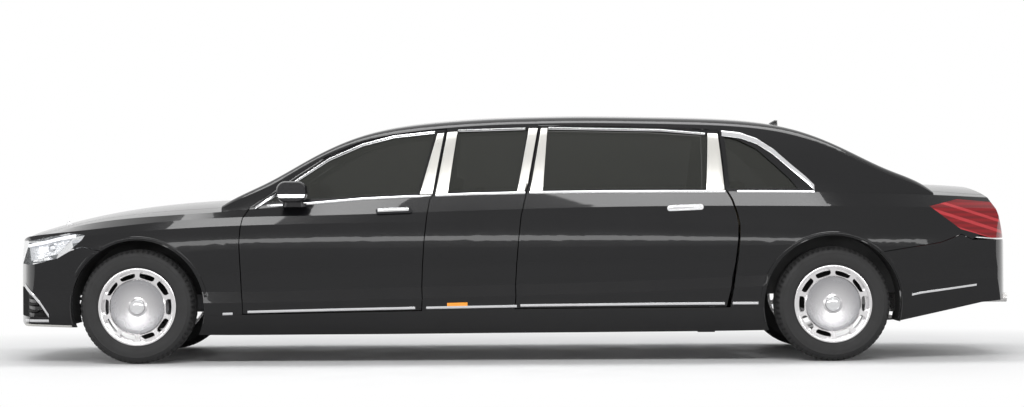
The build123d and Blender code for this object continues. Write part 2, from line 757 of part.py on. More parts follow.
# Floor pan with bulkheads, rails and the raised boot floor
floor_z = 232
boot_floor_z = 420
firewall_x = cowl_x - 20
bulkhead_x = rear_wheel_x - 480
rail_y = 350
rail_z = 470
sill_y = 700
shelf_z = 1012
pad_depth = 4
with BuildPart() as floor_pan:
    with BuildSketch(Plane.XY.offset(ground_clearance + 16)):
        with BuildLine():
            Polyline(
                (firewall_x, -sill_y), (bulkhead_x, -sill_y), (bulkhead_x, sill_y), (firewall_x, sill_y), close=True
            )
        make_face()
    extrude(amount=floor_z - ground_clearance - 16)
    with BuildSketch(Plane.YZ.offset(firewall_x)):
        with Locations((0, (floor_z + 930) / 2)):
            Rectangle(2 * 640, 930 - floor_z)
    extrude(amount=30)
    with BuildSketch(Plane.YZ.offset(bulkhead_x - 30)):
        with Locations((0, (floor_z + shelf_z) / 2)):
            Rectangle(2 * 640, shelf_z - floor_z)
    extrude(amount=30)
    with BuildSketch(Plane.XY.offset(boot_floor_z)):
        with Locations(((bulkhead_x - 10 + tail_x - 60) / 2, 0)):
            Rectangle(tail_x - 60 - bulkhead_x + 10, 2 * (rear_well_y - 15))
    extrude(amount=30)
    with BuildSketch(Plane.XZ.offset(0)):
        with Locations(((nose_x + firewall_x) / 2 + 15, rail_z)):
            Rectangle(firewall_x - nose_x - 30, 90)
    extrude(amount=rail_y + 40, both=True)
    with BuildSketch(Plane.XY.offset(rail_z - 60)):
        with Locations(((nose_x + 160 + firewall_x) / 2, 0)):
            Rectangle(firewall_x - nose_x - 160, 2 * (rail_y - 40))
    extrude(amount=120, mode=Mode.SUBTRACT)
    with BuildSketch(Plane.XZ.offset(0)):
        with Locations((tail_x - 130, boot_floor_z - 30)):
            Rectangle(240, 70)
    extrude(amount=270, both=True)
    add(skin_low, mode=Mode.INTERSECT)
    with BuildSketch(Plane.XY.offset(ground_clearance - pad_depth)):
        for x in (front_door_x + 269, rear_door_x - 190):
            for side in (1, -1):
                with Locations((x, side * (sill_y - 60))):
                    RectangleRounded(110, 80, 10)
    extrude(amount=floor_z - ground_clearance + pad_depth)

# Heights of the front suspension arms and the kingpin place
arm_low_z = 205
arm_high_z = 530
arm_high_thickness = 26
kingpin_y = wheel_y - kingpin_inset
arm_space = 8

# Wheelhouses: liners over each wheel, inside the skin, open for the upper arms
with BuildPart() as wheelhouses:
    for x, radius, inner in (
        (front_wheel_x, front_arch_radius, front_well_y), (rear_wheel_x, rear_arch_radius, rear_well_y)
    ):
        for side in (1, -1):
            with BuildSketch(Plane.XZ.offset(-side * inner)):
                with Locations((x, tyre_radius)):
                    Circle(radius + 10)
            extrude(amount=-side * (1000 - inner))
            with BuildSketch(Plane.XZ.offset(-side * (inner + 8))):
                with Locations((x, tyre_radius)):
                    Circle(radius + 2)
            extrude(amount=-side * (1000 - inner), mode=Mode.SUBTRACT)
    with BuildSketch(Plane.XY.offset(rail_z - 45)):
        Rectangle(7000, 2200)
    extrude(amount=700, mode=Mode.INTERSECT)
    add(skin_low, mode=Mode.INTERSECT)
    with BuildSketch(Plane.XY.offset(arm_high_z - arm_space)):
        with Locations((front_wheel_x, 0)):
            Rectangle(180 + 2 * arm_space, 2 * (front_well_y + 20))
    extrude(amount=arm_high_thickness + 2 * arm_space, mode=Mode.SUBTRACT)

# Parcel shelf under the rear window
with BuildPart() as parcel_shelf:
    with BuildSketch(Plane.XY.offset(shelf_z)):
        with BuildLine():
            Polyline(
                (bulkhead_x - 30, -700), (rear_glass_foot_x - 10, -620), (rear_glass_foot_x - 10, 620),
                (bulkhead_x - 30, 700), close=True,
            )
        make_face()
    extrude(amount=22)

# Engine, one block in its bay
with BuildPart() as engine_block:
    with BuildSketch(Plane.YZ.offset(front_wheel_x - 380)):
        Polygon((-210, 300), (210, 300), (290, 640), (230, 800), (-230, 800), (-290, 640), align=None)
    extrude(amount=820)
    chamfer(engine_block.edges().filter_by(Axis.X), length=24)
    with BuildSketch(Plane.XZ.offset(-(rail_y - 40))):
        with Locations((front_wheel_x + 60, rail_z)):
            Rectangle(110, 56)
    extrude(amount=2 * (rail_y - 40))

# Wheels
bead_radius = 233
bead_y = 96
hub_face = 12
hub_radius = 58
window_radius = 204
window_depth = 46
window_length = 98
disc_radius = 172
disc_thickness = 28
caliper_radius = 160
caliper_gap = 6


def tyre_at(x, side):
    with BuildPart() as tyre:
        with BuildSketch(Plane.XY):
            with BuildLine():
                outer_wall = ThreePointArc((250, 108), (306, tyre_width / 2), (tyre_radius - 16, 108))
                TangentArc(outer_wall @ 1, (tyre_radius - 1.5, 84), tangent=outer_wall % 1)
                ThreePointArc((tyre_radius - 1.5, 84), (tyre_radius, 0), (tyre_radius - 1.5, -84))
                inner_wall = ThreePointArc((250, -108), (306, -tyre_width / 2), (tyre_radius - 16, -108))
                TangentArc(inner_wall @ 1, (tyre_radius - 1.5, -84), tangent=inner_wall % 1)
                Polyline(
                    (250, -108), (247, -bead_y), (bead_radius, -bead_y), (bead_radius, bead_y), (247, bead_y), (250, 108)
                )
            make_face()
        revolve(axis=Axis.Y)
    return tyre.part.moved(Location((x, side * wheel_y, tyre_radius)))


def rim_at(x, side):
    with BuildPart() as rim:
        with BuildSketch(Plane.XY):
            with BuildLine():
                Polyline(
                    (0, -104), (44, -104), (47, -101), (50, -96), (62, -92), (150, -100), (170, -101), (178, -94),
                    (230, -97), (234, -105), (rim_radius, -105), (rim_radius, -bead_y - hub_gap),
                    (bead_radius - hub_gap, -bead_y - hub_gap), (bead_radius - hub_gap, bead_y + hub_gap),
                    (rim_radius, bead_y + hub_gap), (rim_radius, 104), (229, 104), (224, 60),
                    (212, -40), (208, -76), (150, -78), (74, -70), (72, -46), (disc_radius, -46),
                    (disc_radius, -46 + disc_thickness), (70, -46 + disc_thickness), (70, -hub_face), (0, -hub_face),
                    close=True,
                )
            make_face()
        revolve(axis=Axis.Y)
        with BuildSketch(Plane.XZ.offset(120)):
            with PolarLocations(window_radius, rim_windows):
                RectangleRounded(window_depth, window_length, 17)
        extrude(amount=-70, mode=Mode.SUBTRACT)
    solid = rim.part if side < 0 else rim.part.rotate(Axis.Z, 180)
    return solid.moved(Location((x, side * wheel_y, tyre_radius)))


wheels = {}
for end, x in (("front", front_wheel_x), ("rear", rear_wheel_x)):
    for hand, side in (("left", -1), ("right", 1)):
        wheels["tyre_" + end + "_" + hand] = tyre_at(x, side)
        wheels["rim_" + end + "_" + hand] = rim_at(x, side)

# Front suspension: cross member with lower and upper arms, and the steered knuckles
with BuildPart() as front_suspension:
    with BuildSketch(Plane.XY.offset(arm_low_z)):
        Rectangle(180, 840)
        for side in (1, -1):
            with BuildLine():
                Polyline(
                    (-110, side * 410), (110, side * 410), (32, side * (kingpin_y + 24)),
                    (-32, side * (kingpin_y + 24)), close=True,
                )
            make_face()
    extrude(amount=34)
    with BuildSketch(Plane.XY.offset(arm_high_z)):
        for side in (1, -1):
            with BuildLine():
                Polyline(
                    (-90, side * 400), (90, side * 400), (28, side * (kingpin_y + 22)),
                    (-28, side * (kingpin_y + 22)), close=True,
                )
            make_face()
    extrude(amount=arm_high_thickness)
    with BuildSketch(Plane.XY.offset(arm_low_z)):
        with Locations((0, rail_y + 52), (0, -rail_y - 52)):
            Rectangle(150, 24)
    extrude(amount=arm_high_z + arm_high_thickness - arm_low_z)
front_arms = front_suspension.part.moved(Location((front_wheel_x, 0, 0)))


def knuckle_at(side):
    with BuildPart() as knuckle:
        with BuildSketch(Plane.XY.offset(arm_low_z + 34 + hub_gap)):
            with Locations((0, kingpin_y)):
                RectangleRounded(66, 52, 12)
        extrude(amount=arm_high_z - arm_low_z - 34 - 2 * hub_gap)
        with BuildSketch(Plane.XZ.offset(-kingpin_y)):
            with Locations((0, tyre_radius)):
                Circle(hub_radius)
        extrude(amount=-(wheel_y + hub_face - hub_gap - kingpin_y))
        with BuildSketch(Plane.XZ.offset(-kingpin_y + 4)):
            with Locations((75, tyre_radius)):
                Rectangle(150, 50)
        extrude(amount=-20)
        for inner, reach in ((caliper_radius - 45, disc_thickness + caliper_gap), (disc_radius + caliper_gap, 0)):
            with BuildSketch(Plane.XZ.offset(-kingpin_y - 16)):
                with Locations((0, tyre_radius)):
                    Circle(caliper_radius + 32)
                    Circle(inner, mode=Mode.SUBTRACT)
                with Locations((caliper_radius, tyre_radius)):
                    Rectangle(110, 130, mode=Mode.INTERSECT)
            extrude(amount=-(wheel_y + 46 - reach - kingpin_y - 16))
    part = knuckle.part if side > 0 else mirror(knuckle.part, about=Plane.XZ, mode=Mode.PRIVATE)
    return part.moved(Location((front_wheel_x, 0, 0)))


# Rear axle: carrier, arms and hubs
with BuildPart() as rear_axle:
    with BuildSketch(Plane.XY.offset(tyre_radius - 60)):
        Rectangle(260, 300)
    extrude(amount=boot_floor_z - tyre_radius + 60)
    with BuildSketch(Plane.XZ.offset(-(wheel_y + hub_face - hub_gap))):
        with Locations((0, tyre_radius)):
            Circle(hub_radius)
    extrude(amount=60)
    with BuildSketch(Plane.XZ.offset(-(wheel_y - 40))):
        with Locations((0, tyre_radius)):
            Circle(30)
    extrude(amount=wheel_y - 40)
    mirror(about=Plane.XZ)
rear_beam = rear_axle.part.moved(Location((rear_wheel_x, 0, 0)))

# Cabin furniture
def seat_solid(x, y_mid, width, facing, cushion_z, back_top):
    with BuildPart() as bench:
        with BuildSketch(Plane.XZ.offset(-(y_mid - width / 2))):
            with BuildLine():
                Polyline(
                    (0, floor_z + 0.3), (430, floor_z + 0.3), (560, cushion_z - 40), (740, back_top),
                    (640, back_top + 10), (500, cushion_z + 140), (420, cushion_z), (0, cushion_z + 20), close=True,
                )
            make_face()
        extrude(amount=-width)
        fillet(bench.edges().filter_by(Axis.Y), radius=22)
    solid = bench.part if facing > 0 else mirror(bench.part, about=Plane.YZ, mode=Mode.PRIVATE)
    return solid.moved(Location((x, 0, 0)))


front_seat_x = front_door_x + 560
rear_bench_x = bulkhead_x - 790
jump_seat_x = pillar_1_x + 1060
partition_x = front_seat_x + 790
with BuildPart() as front_seats:
    add(seat_solid(front_seat_x, -370, 520, 1, 520, 1150))
    add(seat_solid(front_seat_x, 370, 520, 1, 520, 1150))
with BuildPart() as rear_seats:
    add(seat_solid(rear_bench_x, 0, 1300, 1, 530, 1120))
with BuildPart() as jump_seats:
    add(seat_solid(jump_seat_x, -330, 480, -1, 500, 1020))
    add(seat_solid(jump_seat_x, 330, 480, -1, 500, 1020))

with BuildPart() as partition:
    with BuildSketch(Plane.YZ.offset(partition_x)):
        with BuildLine():
            Polyline(
                (-sill_y + 10, floor_z), (sill_y - 10, floor_z), (sill_y + 60, 1000), (sill_y - 30, 1180),
                (-sill_y + 30, 1180), (-sill_y - 60, 1000), close=True,
            )
        make_face()
    extrude(amount=34)

wheel_tilt = 24
steer_x = firewall_x + 560
steer_y = -370
steer_z = 850
column_radius = 24
steer_axis = Vector(cos(wheel_tilt * pi / 180), 0, sin(wheel_tilt * pi / 180))
steer_plane = Plane(origin=(steer_x, steer_y, steer_z), x_dir=(0, 1, 0), z_dir=steer_axis)

with BuildPart() as dashboard:
    with BuildSketch(Plane.XZ.offset(700)):
        with BuildLine():
            Polyline(
                (firewall_x + 30, 700), (firewall_x + 400, 720), (firewall_x + 430, 860), (firewall_x + 340, 960),
                (firewall_x + 120, 960), (firewall_x + 30, 930), close=True,
            )
        make_face()
    extrude(amount=-1400)
    with BuildSketch(steer_plane.offset(-12)):
        Circle(column_radius + hub_gap)
    extrude(amount=-400, mode=Mode.SUBTRACT)

with BuildPart() as steering_wheel:
    with BuildSketch(Plane(origin=steer_plane.origin, x_dir=steer_plane.x_dir, z_dir=steer_plane.y_dir)):
        with Locations((180, 0)):
            Circle(14)
    revolve(axis=Axis(steer_plane.origin, steer_plane.z_dir))
    with BuildSketch(steer_plane.offset(-12)):
        Circle(62)
        with PolarLocations(0, 3, start_angle=-90):
            with Locations((110, 0)):
                Rectangle(140, 30)
    extrude(amount=20)
with BuildPart() as steering_column:
    with BuildSketch(steer_plane.offset(-12 - hub_gap)):
        Circle(column_radius)
    extrude(amount=-180)

# Exhaust with its silencers under the boot floor and its tail pipes
tip_y = 590
tip_z = 389
tip_width = 150
tip_height = 56
with BuildPart() as rear_bumper_cut:
    add(rear_bumper.part)
    with BuildSketch(Plane.YZ.offset(tail_x - 400)):
        with Locations((-tip_y, tip_z), (tip_y, tip_z)):
            SlotOverall(tip_width + 2 * seam, tip_height + 2 * seam)
    extrude(amount=400, mode=Mode.SUBTRACT)
with BuildPart() as exhaust:
    with BuildSketch(Plane.XY.offset(300)):
        with Locations((tail_x - 660, 520), (tail_x - 660, -520)):
            RectangleRounded(300, 230, 60)
    extrude(amount=boot_floor_z - 300)
    with BuildSketch(Plane.YZ.offset(tail_x - 530)):
        with Locations((-tip_y, tip_z), (tip_y, tip_z)):
            SlotOverall(tip_width, tip_height)
    extrude(amount=470)
    with BuildSketch(Plane.YZ.offset(tail_x - 400)):
        with Locations((-tip_y, tip_z), (tip_y, tip_z)):
            SlotOverall(tip_width - 12, tip_height - 12)
    extrude(amount=400, mode=Mode.SUBTRACT)

pieces = {
    "door_front_left": door_front_left.part, "door_rear_left": door_rear_left.part,
    "door_front_right": door_front_right.part, "door_rear_right": door_rear_right.part,
    "glass_front_left": glass_front_left.part, "glass_rear_left": glass_rear_left.part,
    "glass_front_right": glass_front_right.part, "glass_rear_right": glass_rear_right.part,
    "fixed_side_glass": fixed_side_glass.part, "windscreen": windscreen.part, "rear_window": rear_window.part,
    "roof_panel": roof_panel.part, "bonnet": bonnet.part, "boot_lid": boot_lid.part,
    "headlamps": headlamps.part, "tail_lamps": tail_lamps.part, "front_bumper": front_bumper.part,
    "rear_bumper": rear_bumper_cut.part, "grille": grille.part, "front_fenders": front_fenders.part,
    "rear_quarters": rear_quarters.part, "middle_panels": middle_panels.part,
    "cowl_panel": cowl_panel.part, "sills": sills.part,
    "front_intakes": front_intakes.part, "door_seals": door_seals.part, "antenna_fin": antenna_fin.part,
    "mirror_handle_left": door_fittings_left.part, "mirror_handle_right": door_fittings_right.part,
    "handle_rear_left": handle_rear_left.part, "handle_rear_right": handle_rear_right.part,
    "wheelhouses": wheelhouses.part, "parcel_shelf": parcel_shelf.part,
    "floor_pan": floor_pan.part, "engine_block": engine_block.part, "front_suspension": front_arms,
    "knuckle_left": knuckle_at(-1), "knuckle_right": knuckle_at(1), "rear_axle": rear_beam,
    "front_seats": front_seats.part, "rear_seats": rear_seats.part, "jump_seats": jump_seats.part,
    "partition": partition.part, "dashboard": dashboard.part, "steering_wheel": steering_wheel.part,
    "steering_column": steering_column.part, "exhaust": exhaust.part,
}
pieces.update(wheels)
for name, piece in pieces.items():
    piece.label = name
    export_step(piece, "parts/" + name + ".step")
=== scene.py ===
import json
from math import atan2, cos, pi, radians, sin

import bpy
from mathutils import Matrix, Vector


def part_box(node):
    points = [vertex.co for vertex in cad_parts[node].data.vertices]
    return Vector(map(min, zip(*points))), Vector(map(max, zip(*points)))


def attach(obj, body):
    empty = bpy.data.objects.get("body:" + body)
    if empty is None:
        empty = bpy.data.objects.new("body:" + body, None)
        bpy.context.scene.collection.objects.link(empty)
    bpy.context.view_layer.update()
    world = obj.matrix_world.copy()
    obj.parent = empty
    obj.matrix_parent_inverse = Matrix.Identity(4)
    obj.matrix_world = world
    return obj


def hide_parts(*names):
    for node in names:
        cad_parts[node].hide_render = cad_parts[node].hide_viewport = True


bl_info = {
    "name": "Stretch limousine",
    "version": (1, 0, 0),
    "blender": (4, 5, 0),
    "location": "3D View > Sidebar > Limousine",
    "description": "Dresses the limousine with trim, lamps, tyres, seats and finishes",
    "category": "Add Mesh",
}

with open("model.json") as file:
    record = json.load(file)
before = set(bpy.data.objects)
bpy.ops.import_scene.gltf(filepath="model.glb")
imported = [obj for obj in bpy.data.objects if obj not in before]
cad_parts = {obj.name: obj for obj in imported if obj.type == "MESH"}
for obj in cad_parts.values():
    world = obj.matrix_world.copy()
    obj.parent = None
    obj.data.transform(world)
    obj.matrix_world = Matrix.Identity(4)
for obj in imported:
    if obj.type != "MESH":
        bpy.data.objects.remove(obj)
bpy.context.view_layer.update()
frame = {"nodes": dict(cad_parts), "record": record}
nodes = frame["nodes"]

HANDS = (("left", -1), ("right", 1))
FRONT_WHEEL_X = -2.382
REAR_WHEEL_X = 2.036
WHEEL_Y = 0.810
WHEEL_Z = 0.364

# Trim is drawn in this plane beside the car and then laid on the skin
DRAWN_Y = -1.3
MISSED_Y = -1.25
STEEPEST = 0.35


# Shader maths as plain expressions
class Value:
    def __init__(self, tree, socket):
        self.tree = tree
        self.socket = socket

    def maths(self, operation, other=None, swap=False):
        node = self.tree.nodes.new("ShaderNodeMath")
        node.operation = operation
        values = [self, other] if not swap else [other, self]
        for place, value in enumerate(values):
            if value is None:
                continue
            if isinstance(value, Value):
                self.tree.links.new(value.socket, node.inputs[place])
            else:
                node.inputs[place].default_value = value
        return Value(self.tree, node.outputs[0])

    def __add__(self, other):
        return self.maths("ADD", other)

    __radd__ = __add__

    def __sub__(self, other):
        return self.maths("SUBTRACT", other)

    def __rsub__(self, other):
        return self.maths("SUBTRACT", other, swap=True)

    def __mul__(self, other):
        return self.maths("MULTIPLY", other)

    __rmul__ = __mul__

    def __gt__(self, other):
        return self.maths("GREATER_THAN", other)

    def __lt__(self, other):
        return self.maths("LESS_THAN", other)

    def __pow__(self, other):
        return self.maths("POWER", other)


class Finish:
    """One material with its shader and a few helpers for its pattern."""

    def __init__(self, name):
        self.material = bpy.data.materials.new(name)
        self.material.use_nodes = True
        self.tree = self.material.node_tree
        self.shader = self.tree.nodes["Principled BSDF"]
        self.output = self.tree.nodes["Material Output"]
        self.place = self.node("ShaderNodeTexCoord").outputs["Object"]

    def node(self, kind, settings=None, **inputs):
        made = self.tree.nodes.new(kind)
        for key, value in (settings or {}).items():
            setattr(made, key, value)
        for key, value in inputs.items():
            self.put(made.inputs[key.replace("_", " ")], value)
        return made

    def put(self, socket, value):
        if isinstance(value, Value):
            value = value.socket
        if isinstance(value, bpy.types.NodeSocket):
            self.tree.links.new(value, socket)
        else:
            socket.default_value = value

    def set(self, **inputs):
        for key, value in inputs.items():
            self.put(self.shader.inputs[key.replace("_", " ")], value)

    def noise(self, scale, detail=3.0, stretch=(1, 1, 1), rough=0.5):
        space = self.node("ShaderNodeMapping", Vector=self.place, Scale=stretch)
        made = self.node("ShaderNodeTexNoise", Vector=space.outputs[0], Scale=scale, Detail=detail, Roughness=rough)
        return Value(self.tree, made.outputs[0])

    def cells(self, scale, stretch=(1, 1, 1), feature="F1"):
        space = self.node("ShaderNodeMapping", Vector=self.place, Scale=stretch)
        made = self.node("ShaderNodeTexVoronoi", {"feature": feature}, Vector=space.outputs[0], Scale=scale)
        return Value(self.tree, made.outputs["Distance"])

    def axis(self, letter):
        made = self.node("ShaderNodeSeparateXYZ", Vector=self.place)
        return Value(self.tree, made.outputs[letter])

    def between(self, value, low, high, to_low=0.0, to_high=1.0):
        made = self.node("ShaderNodeMapRange", Value=value)
        for place, number in ((1, low), (2, high), (3, to_low), (4, to_high)):
            made.inputs[place].default_value = number
        return Value(self.tree, made.outputs[0])

    def blend(self, share, first, second):
        made = self.node("ShaderNodeMix", {"data_type": "RGBA"})
        self.put(made.inputs[0], share)
        self.put(made.inputs[6], first)
        self.put(made.inputs[7], second)
        return made.outputs[2]

    def bump(self, height, strength, distance=0.001):
        made = self.node("ShaderNodeBump", Height=height, Strength=strength, Distance=distance)
        self.set(Normal=made.outputs[0])


finishes = {}


def tone(r, g, b, a=1.0):
    return (r, g, b, a)


def shown(tree):
    """1 for camera, glossy and transmission rays, which see the white background."""
    rays = tree.nodes.new("ShaderNodeLightPath").outputs
    seen = Value(tree, rays["Is Camera Ray"])
    for kind in ("Is Glossy Ray", "Is Transmission Ray"):
        seen = seen.maths("MAXIMUM", Value(tree, rays[kind]))
    return seen


def gloss_paint(colour, name="paint", band=None):
    """Deep gloss paint, with a bright band between two heights where one is given."""
    f = Finish(name)
    cloud = f.noise(2.2, 4)
    flake = f.cells(900)
    dust = f.between(f.axis("Z"), 0.18, 0.62, 1.0, 0.0) * f.noise(7, 5)
    body = f.blend(cloud * 0.5, colour, tone(colour[0] * 1.5, colour[1] * 1.5, colour[2] * 1.6))
    body = f.blend((flake < 0.08) * 0.5, body, tone(0.05, 0.05, 0.055))
    body = f.blend(dust * 0.04, body, tone(0.10, 0.092, 0.08))
    if band:
        bright = (f.axis("Z") > band[0]) * (f.axis("Z") < band[1])
        body = f.blend(bright, body, tone(0.70, 0.70, 0.71))
        f.set(Metallic=bright)
    f.set(Base_Color=body, Roughness=f.between(cloud, 0.2, 0.8, 0.16, 0.22) + dust * 0.06)
    f.set(Specular_IOR_Level=0.1, Coat_Weight=0.6, Coat_Roughness=0.02, Coat_IOR=1.4)
    f.bump(f.noise(260, 2), 0.02, 0.0004)
    return f.material


def bright_metal(name, colour, low, high, grain=(1, 1, 1)):
    f = Finish(name)
    brush = f.noise(140, 3, grain)
    smudge = f.noise(9, 4)
    f.set(Base_Color=f.blend(smudge, colour, tone(*[c * 0.86 for c in colour[:3]])))
    f.set(Metallic=1.0, Roughness=f.between(brush * 0.5 + smudge * 0.5, 0.3, 0.7, low, high))
    f.bump(brush, 0.03, 0.0003)
    return f.material


def turned_alloy():
    """Polished rims: painted shade darkens the dish towards its edge, with turning marks round each axle."""
    f = Finish("polished_alloy")
    height = f.axis("Z") - WHEEL_Z
    reach = []
    for x in (FRONT_WHEEL_X, REAR_WHEEL_X):
        along = f.axis("X") - x
        reach.append((along * along + height * height) ** 0.5)
    radius = reach[0].maths("MINIMUM", reach[1])
    rings = (radius * 5200).maths("SINE")
    # painted shade: the dish grows smoothly darker from the axle out to its outer edge
    dish_painted_shade = f.between(radius, 0.045, 0.168, 0.15, 0.9) * (radius < 0.172)
    smudge = f.noise(9, 4)
    metal = f.blend(smudge, tone(0.66, 0.65, 0.65), tone(0.56, 0.55, 0.56))
    f.set(Base_Color=f.blend(dish_painted_shade, metal, tone(0.22, 0.22, 0.23)), Metallic=1.0)
    f.set(Roughness=f.between(smudge, 0.3, 0.7, 0.14, 0.22) + dish_painted_shade * 0.1)
    f.bump(rings, 0.05, 0.0002)
    return f.material


def tinted_glass(name, colour, alpha):
    f = Finish(name)
    film = f.noise(3, 4)
    f.set(Base_Color=f.blend(film, colour, tone(*[c * 1.35 for c in colour[:3]])))
    f.set(Roughness=f.between(film, 0.3, 0.7, 0.012, 0.03), Alpha=f.between(film, 0.3, 0.7, alpha, alpha + 0.03))
    f.set(Specular_IOR_Level=0.4, Coat_Weight=0.15, Coat_Roughness=0.02)
    f.bump(f.noise(3, 2), 0.004, 0.0005)
    return f.material


def rubber():
    f = Finish("tyre_rubber")
    grain = f.noise(420, 3)
    scuff = f.noise(16, 5)
    f.set(Base_Color=f.blend(scuff, tone(0.009, 0.009, 0.010), tone(0.022, 0.0215, 0.021)))
    f.set(Roughness=f.between(scuff, 0.3, 0.7, 0.55, 0.75), Specular_IOR_Level=0.35)
    f.bump(grain, 0.15, 0.0006)
    return f.material


def plastic(name, colour, low, high, scale=600):
    f = Finish(name)
    grain = f.cells(scale)
    wear = f.noise(6, 5)
    f.set(Base_Color=f.blend(wear, colour, tone(*[c * 1.5 for c in colour[:3]])))
    f.set(Roughness=f.between(wear, 0.3, 0.7, low, high))
    f.bump(grain, 0.12, 0.0005)
    return f.material


def hide(name, colour):
    f = Finish(name)
    pores = f.cells(520)
    folds = f.noise(26, 6)
    wear = f.noise(4, 3)
    shade = f.blend(folds, colour, tone(*[c * 0.72 for c in colour[:3]]))
    f.set(Base_Color=f.blend(wear * 0.4, shade, tone(*[min(1, c * 1.25) for c in colour[:3]])))
    f.set(Roughness=f.between(folds, 0.3, 0.7, 0.38, 0.55), Sheen_Weight=0.1)
    f.bump(pores * 0.5 + folds, 0.25, 0.001)
    return f.material


def red_lens():
    f = Finish("red_lens")
    height = f.axis("Z")
    length = f.axis("X")
    slope = height + length * 0.32
    ribs = f.node("ShaderNodeTexWave", {"wave_type": "BANDS", "bands_direction": "Z"},
                  Vector=f.place, Scale=9.0, Distortion=0.6)
    ribs = Value(f.tree, ribs.outputs["Fac"])
    bar = (slope > 1.805) * (slope < 1.825) + (slope > 1.872) * (slope < 1.890) + (slope > 1.742) * (slope < 1.758)
    deep = f.blend(ribs * 0.5, tone(0.13, 0.001, 0.003), tone(0.30, 0.003, 0.008))
    f.set(Base_Color=f.blend(bar * 0.5, deep, tone(0.55, 0.05, 0.06)))
    f.set(Roughness=f.between(ribs, 0, 1, 0.06, 0.12), Specular_IOR_Level=0.25, Coat_Weight=0.3, Coat_Roughness=0.02)
    f.set(Emission_Color=f.blend(bar, tone(0.10, 0.0, 0.003), tone(0.45, 0.03, 0.03)), Emission_Strength=0.2)
    f.bump(f.cells(90), 0.1, 0.001)
    return f.material


def lamp_inside():
    f = Finish("lamp_reflector")
    facets = f.cells(46, (1, 1, 2.2))
    f.set(Base_Color=f.blend(facets, tone(0.75, 0.76, 0.78), tone(0.42, 0.43, 0.45)), Metallic=0.9)
    f.set(Roughness=f.between(facets, 0, 0.6, 0.12, 0.3))
    f.bump(facets, 0.4, 0.003)
    return f.material


def glowing(name, colour, strength):
    f = Finish(name)
    f.set(Base_Color=f.blend(f.cells(120), colour, tone(*[c * 0.8 for c in colour[:3]])))
    f.set(Emission_Color=f.blend(f.noise(30), colour, tone(*[c * 0.85 for c in colour[:3]])))
    f.set(Emission_Strength=strength, Roughness=f.between(f.noise(60), 0.3, 0.7, 0.12, 0.2))
    return f.material


def floor_finish():
    f = Finish("studio_floor")
    f.set(Base_Color=f.blend(f.noise(0.8, 3), tone(0.80, 0.80, 0.80), tone(0.83, 0.83, 0.83)))
    f.set(Roughness=f.between(f.noise(3), 0.3, 0.7, 0.5, 0.65), Specular_IOR_Level=0.2)
    along = f.axis("X")
    back = f.axis("Y")
    away = (along * along * 0.25 + back * back) ** 0.5
    white = f.node("ShaderNodeEmission", Color=tone(1, 1, 1), Strength=1.0)
    mix = f.node("ShaderNodeMixShader")
    f.put(mix.inputs[0], f.between(away, 1.3, 3.4) * shown(f.tree))
    f.tree.links.new(f.shader.outputs[0], mix.inputs[1])
    f.tree.links.new(white.outputs[0], mix.inputs[2])
    f.tree.links.new(mix.outputs[0], f.output.inputs[0])
    return f.material


def make_finishes(look):
    finishes.update(
        paint=gloss_paint(tone(*look.paint)),
        dark_glass=tinted_glass("dark_glass", tone(0.012, 0.013, 0.010), look.side_tint),
        clear_glass=tinted_glass("clear_glass", tone(0.03, 0.035, 0.032), look.front_tint),
        lamp_lens=tinted_glass("lamp_lens", tone(0.75, 0.78, 0.80), 0.12),
        red_lens=red_lens(),
        chrome=bright_metal("chrome", tone(0.70, 0.70, 0.71), 0.08, 0.16),
        satin=bright_metal("satin_metal", tone(0.60, 0.59, 0.56), 0.26, 0.38, (1, 1, 0.15)),
        alloy=turned_alloy(),
        tyre=rubber(),
        black_trim=plastic("black_trim", tone(0.012, 0.012, 0.012), 0.3, 0.45),
        mirror_shell=gloss_paint(tone(0.006, 0.006, 0.007), "mirror_shell", (1.052, 1.074)),
        underbody=plastic("underbody", tone(0.018, 0.018, 0.018), 0.6, 0.8, 260),
        cast_metal=plastic("cast_metal", tone(0.13, 0.13, 0.135), 0.45, 0.65, 340),
        steel=bright_metal("brushed_steel", tone(0.62, 0.61, 0.60), 0.22, 0.36, (0.2, 1, 1)),
        leather=hide("beige_leather", tone(0.34, 0.28, 0.19)),
        reflector=lamp_inside(),
        white_light=glowing("lamp_strip", tone(0.95, 0.96, 1.0), 0.55),
        amber=glowing("amber_marker", tone(0.85, 0.30, 0.03), 0.25),
    )


# Modelling helpers
def edit(action=None):
    bpy.ops.object.mode_set(mode="EDIT")
    if action:
        bpy.ops.mesh.select_all(action=action)


def leave():
    bpy.ops.object.mode_set(mode="OBJECT")


def only(piece):
    bpy.ops.object.select_all(action="DESELECT")
    piece.select_set(True)
    bpy.context.view_layer.objects.active = piece


def settle(piece):
    only(piece)
    bpy.ops.object.transform_apply(location=True, rotation=True, scale=True)
    return piece


def modify(piece, kind, **settings):
    only(piece)
    made = piece.modifiers.new(kind.lower(), kind)
    for key, value in settings.items():
        setattr(made, key, value)
    bpy.ops.object.modifier_apply(modifier=made.name)


def dress(piece, name, finish, body, replaces=()):
    piece.name = name
    piece.data.name = name
    piece.data.materials.clear()
    piece.data.materials.append(finishes[finish])
    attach(piece, body)
    if replaces:
        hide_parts(*replaces)
    return piece


def outward(piece):
    only(piece)
    edit("SELECT")
    bpy.ops.mesh.remove_doubles(threshold=0.00002)
    bpy.ops.mesh.normals_make_consistent(inside=False)
    leave()


def copy_of(piece, name):
    only(piece)
    bpy.ops.object.duplicate(linked=False)
    made = bpy.context.object
    made.parent = None
    made.name = name
    return made


def other_side(piece, name, finish, body):
    made = copy_of(piece, name)
    edit("SELECT")
    bpy.ops.transform.resize(value=(1, -1, 1), center_override=(0, 0, 0))
    bpy.ops.mesh.flip_normals()
    leave()
    return dress(made, name, finish, body)


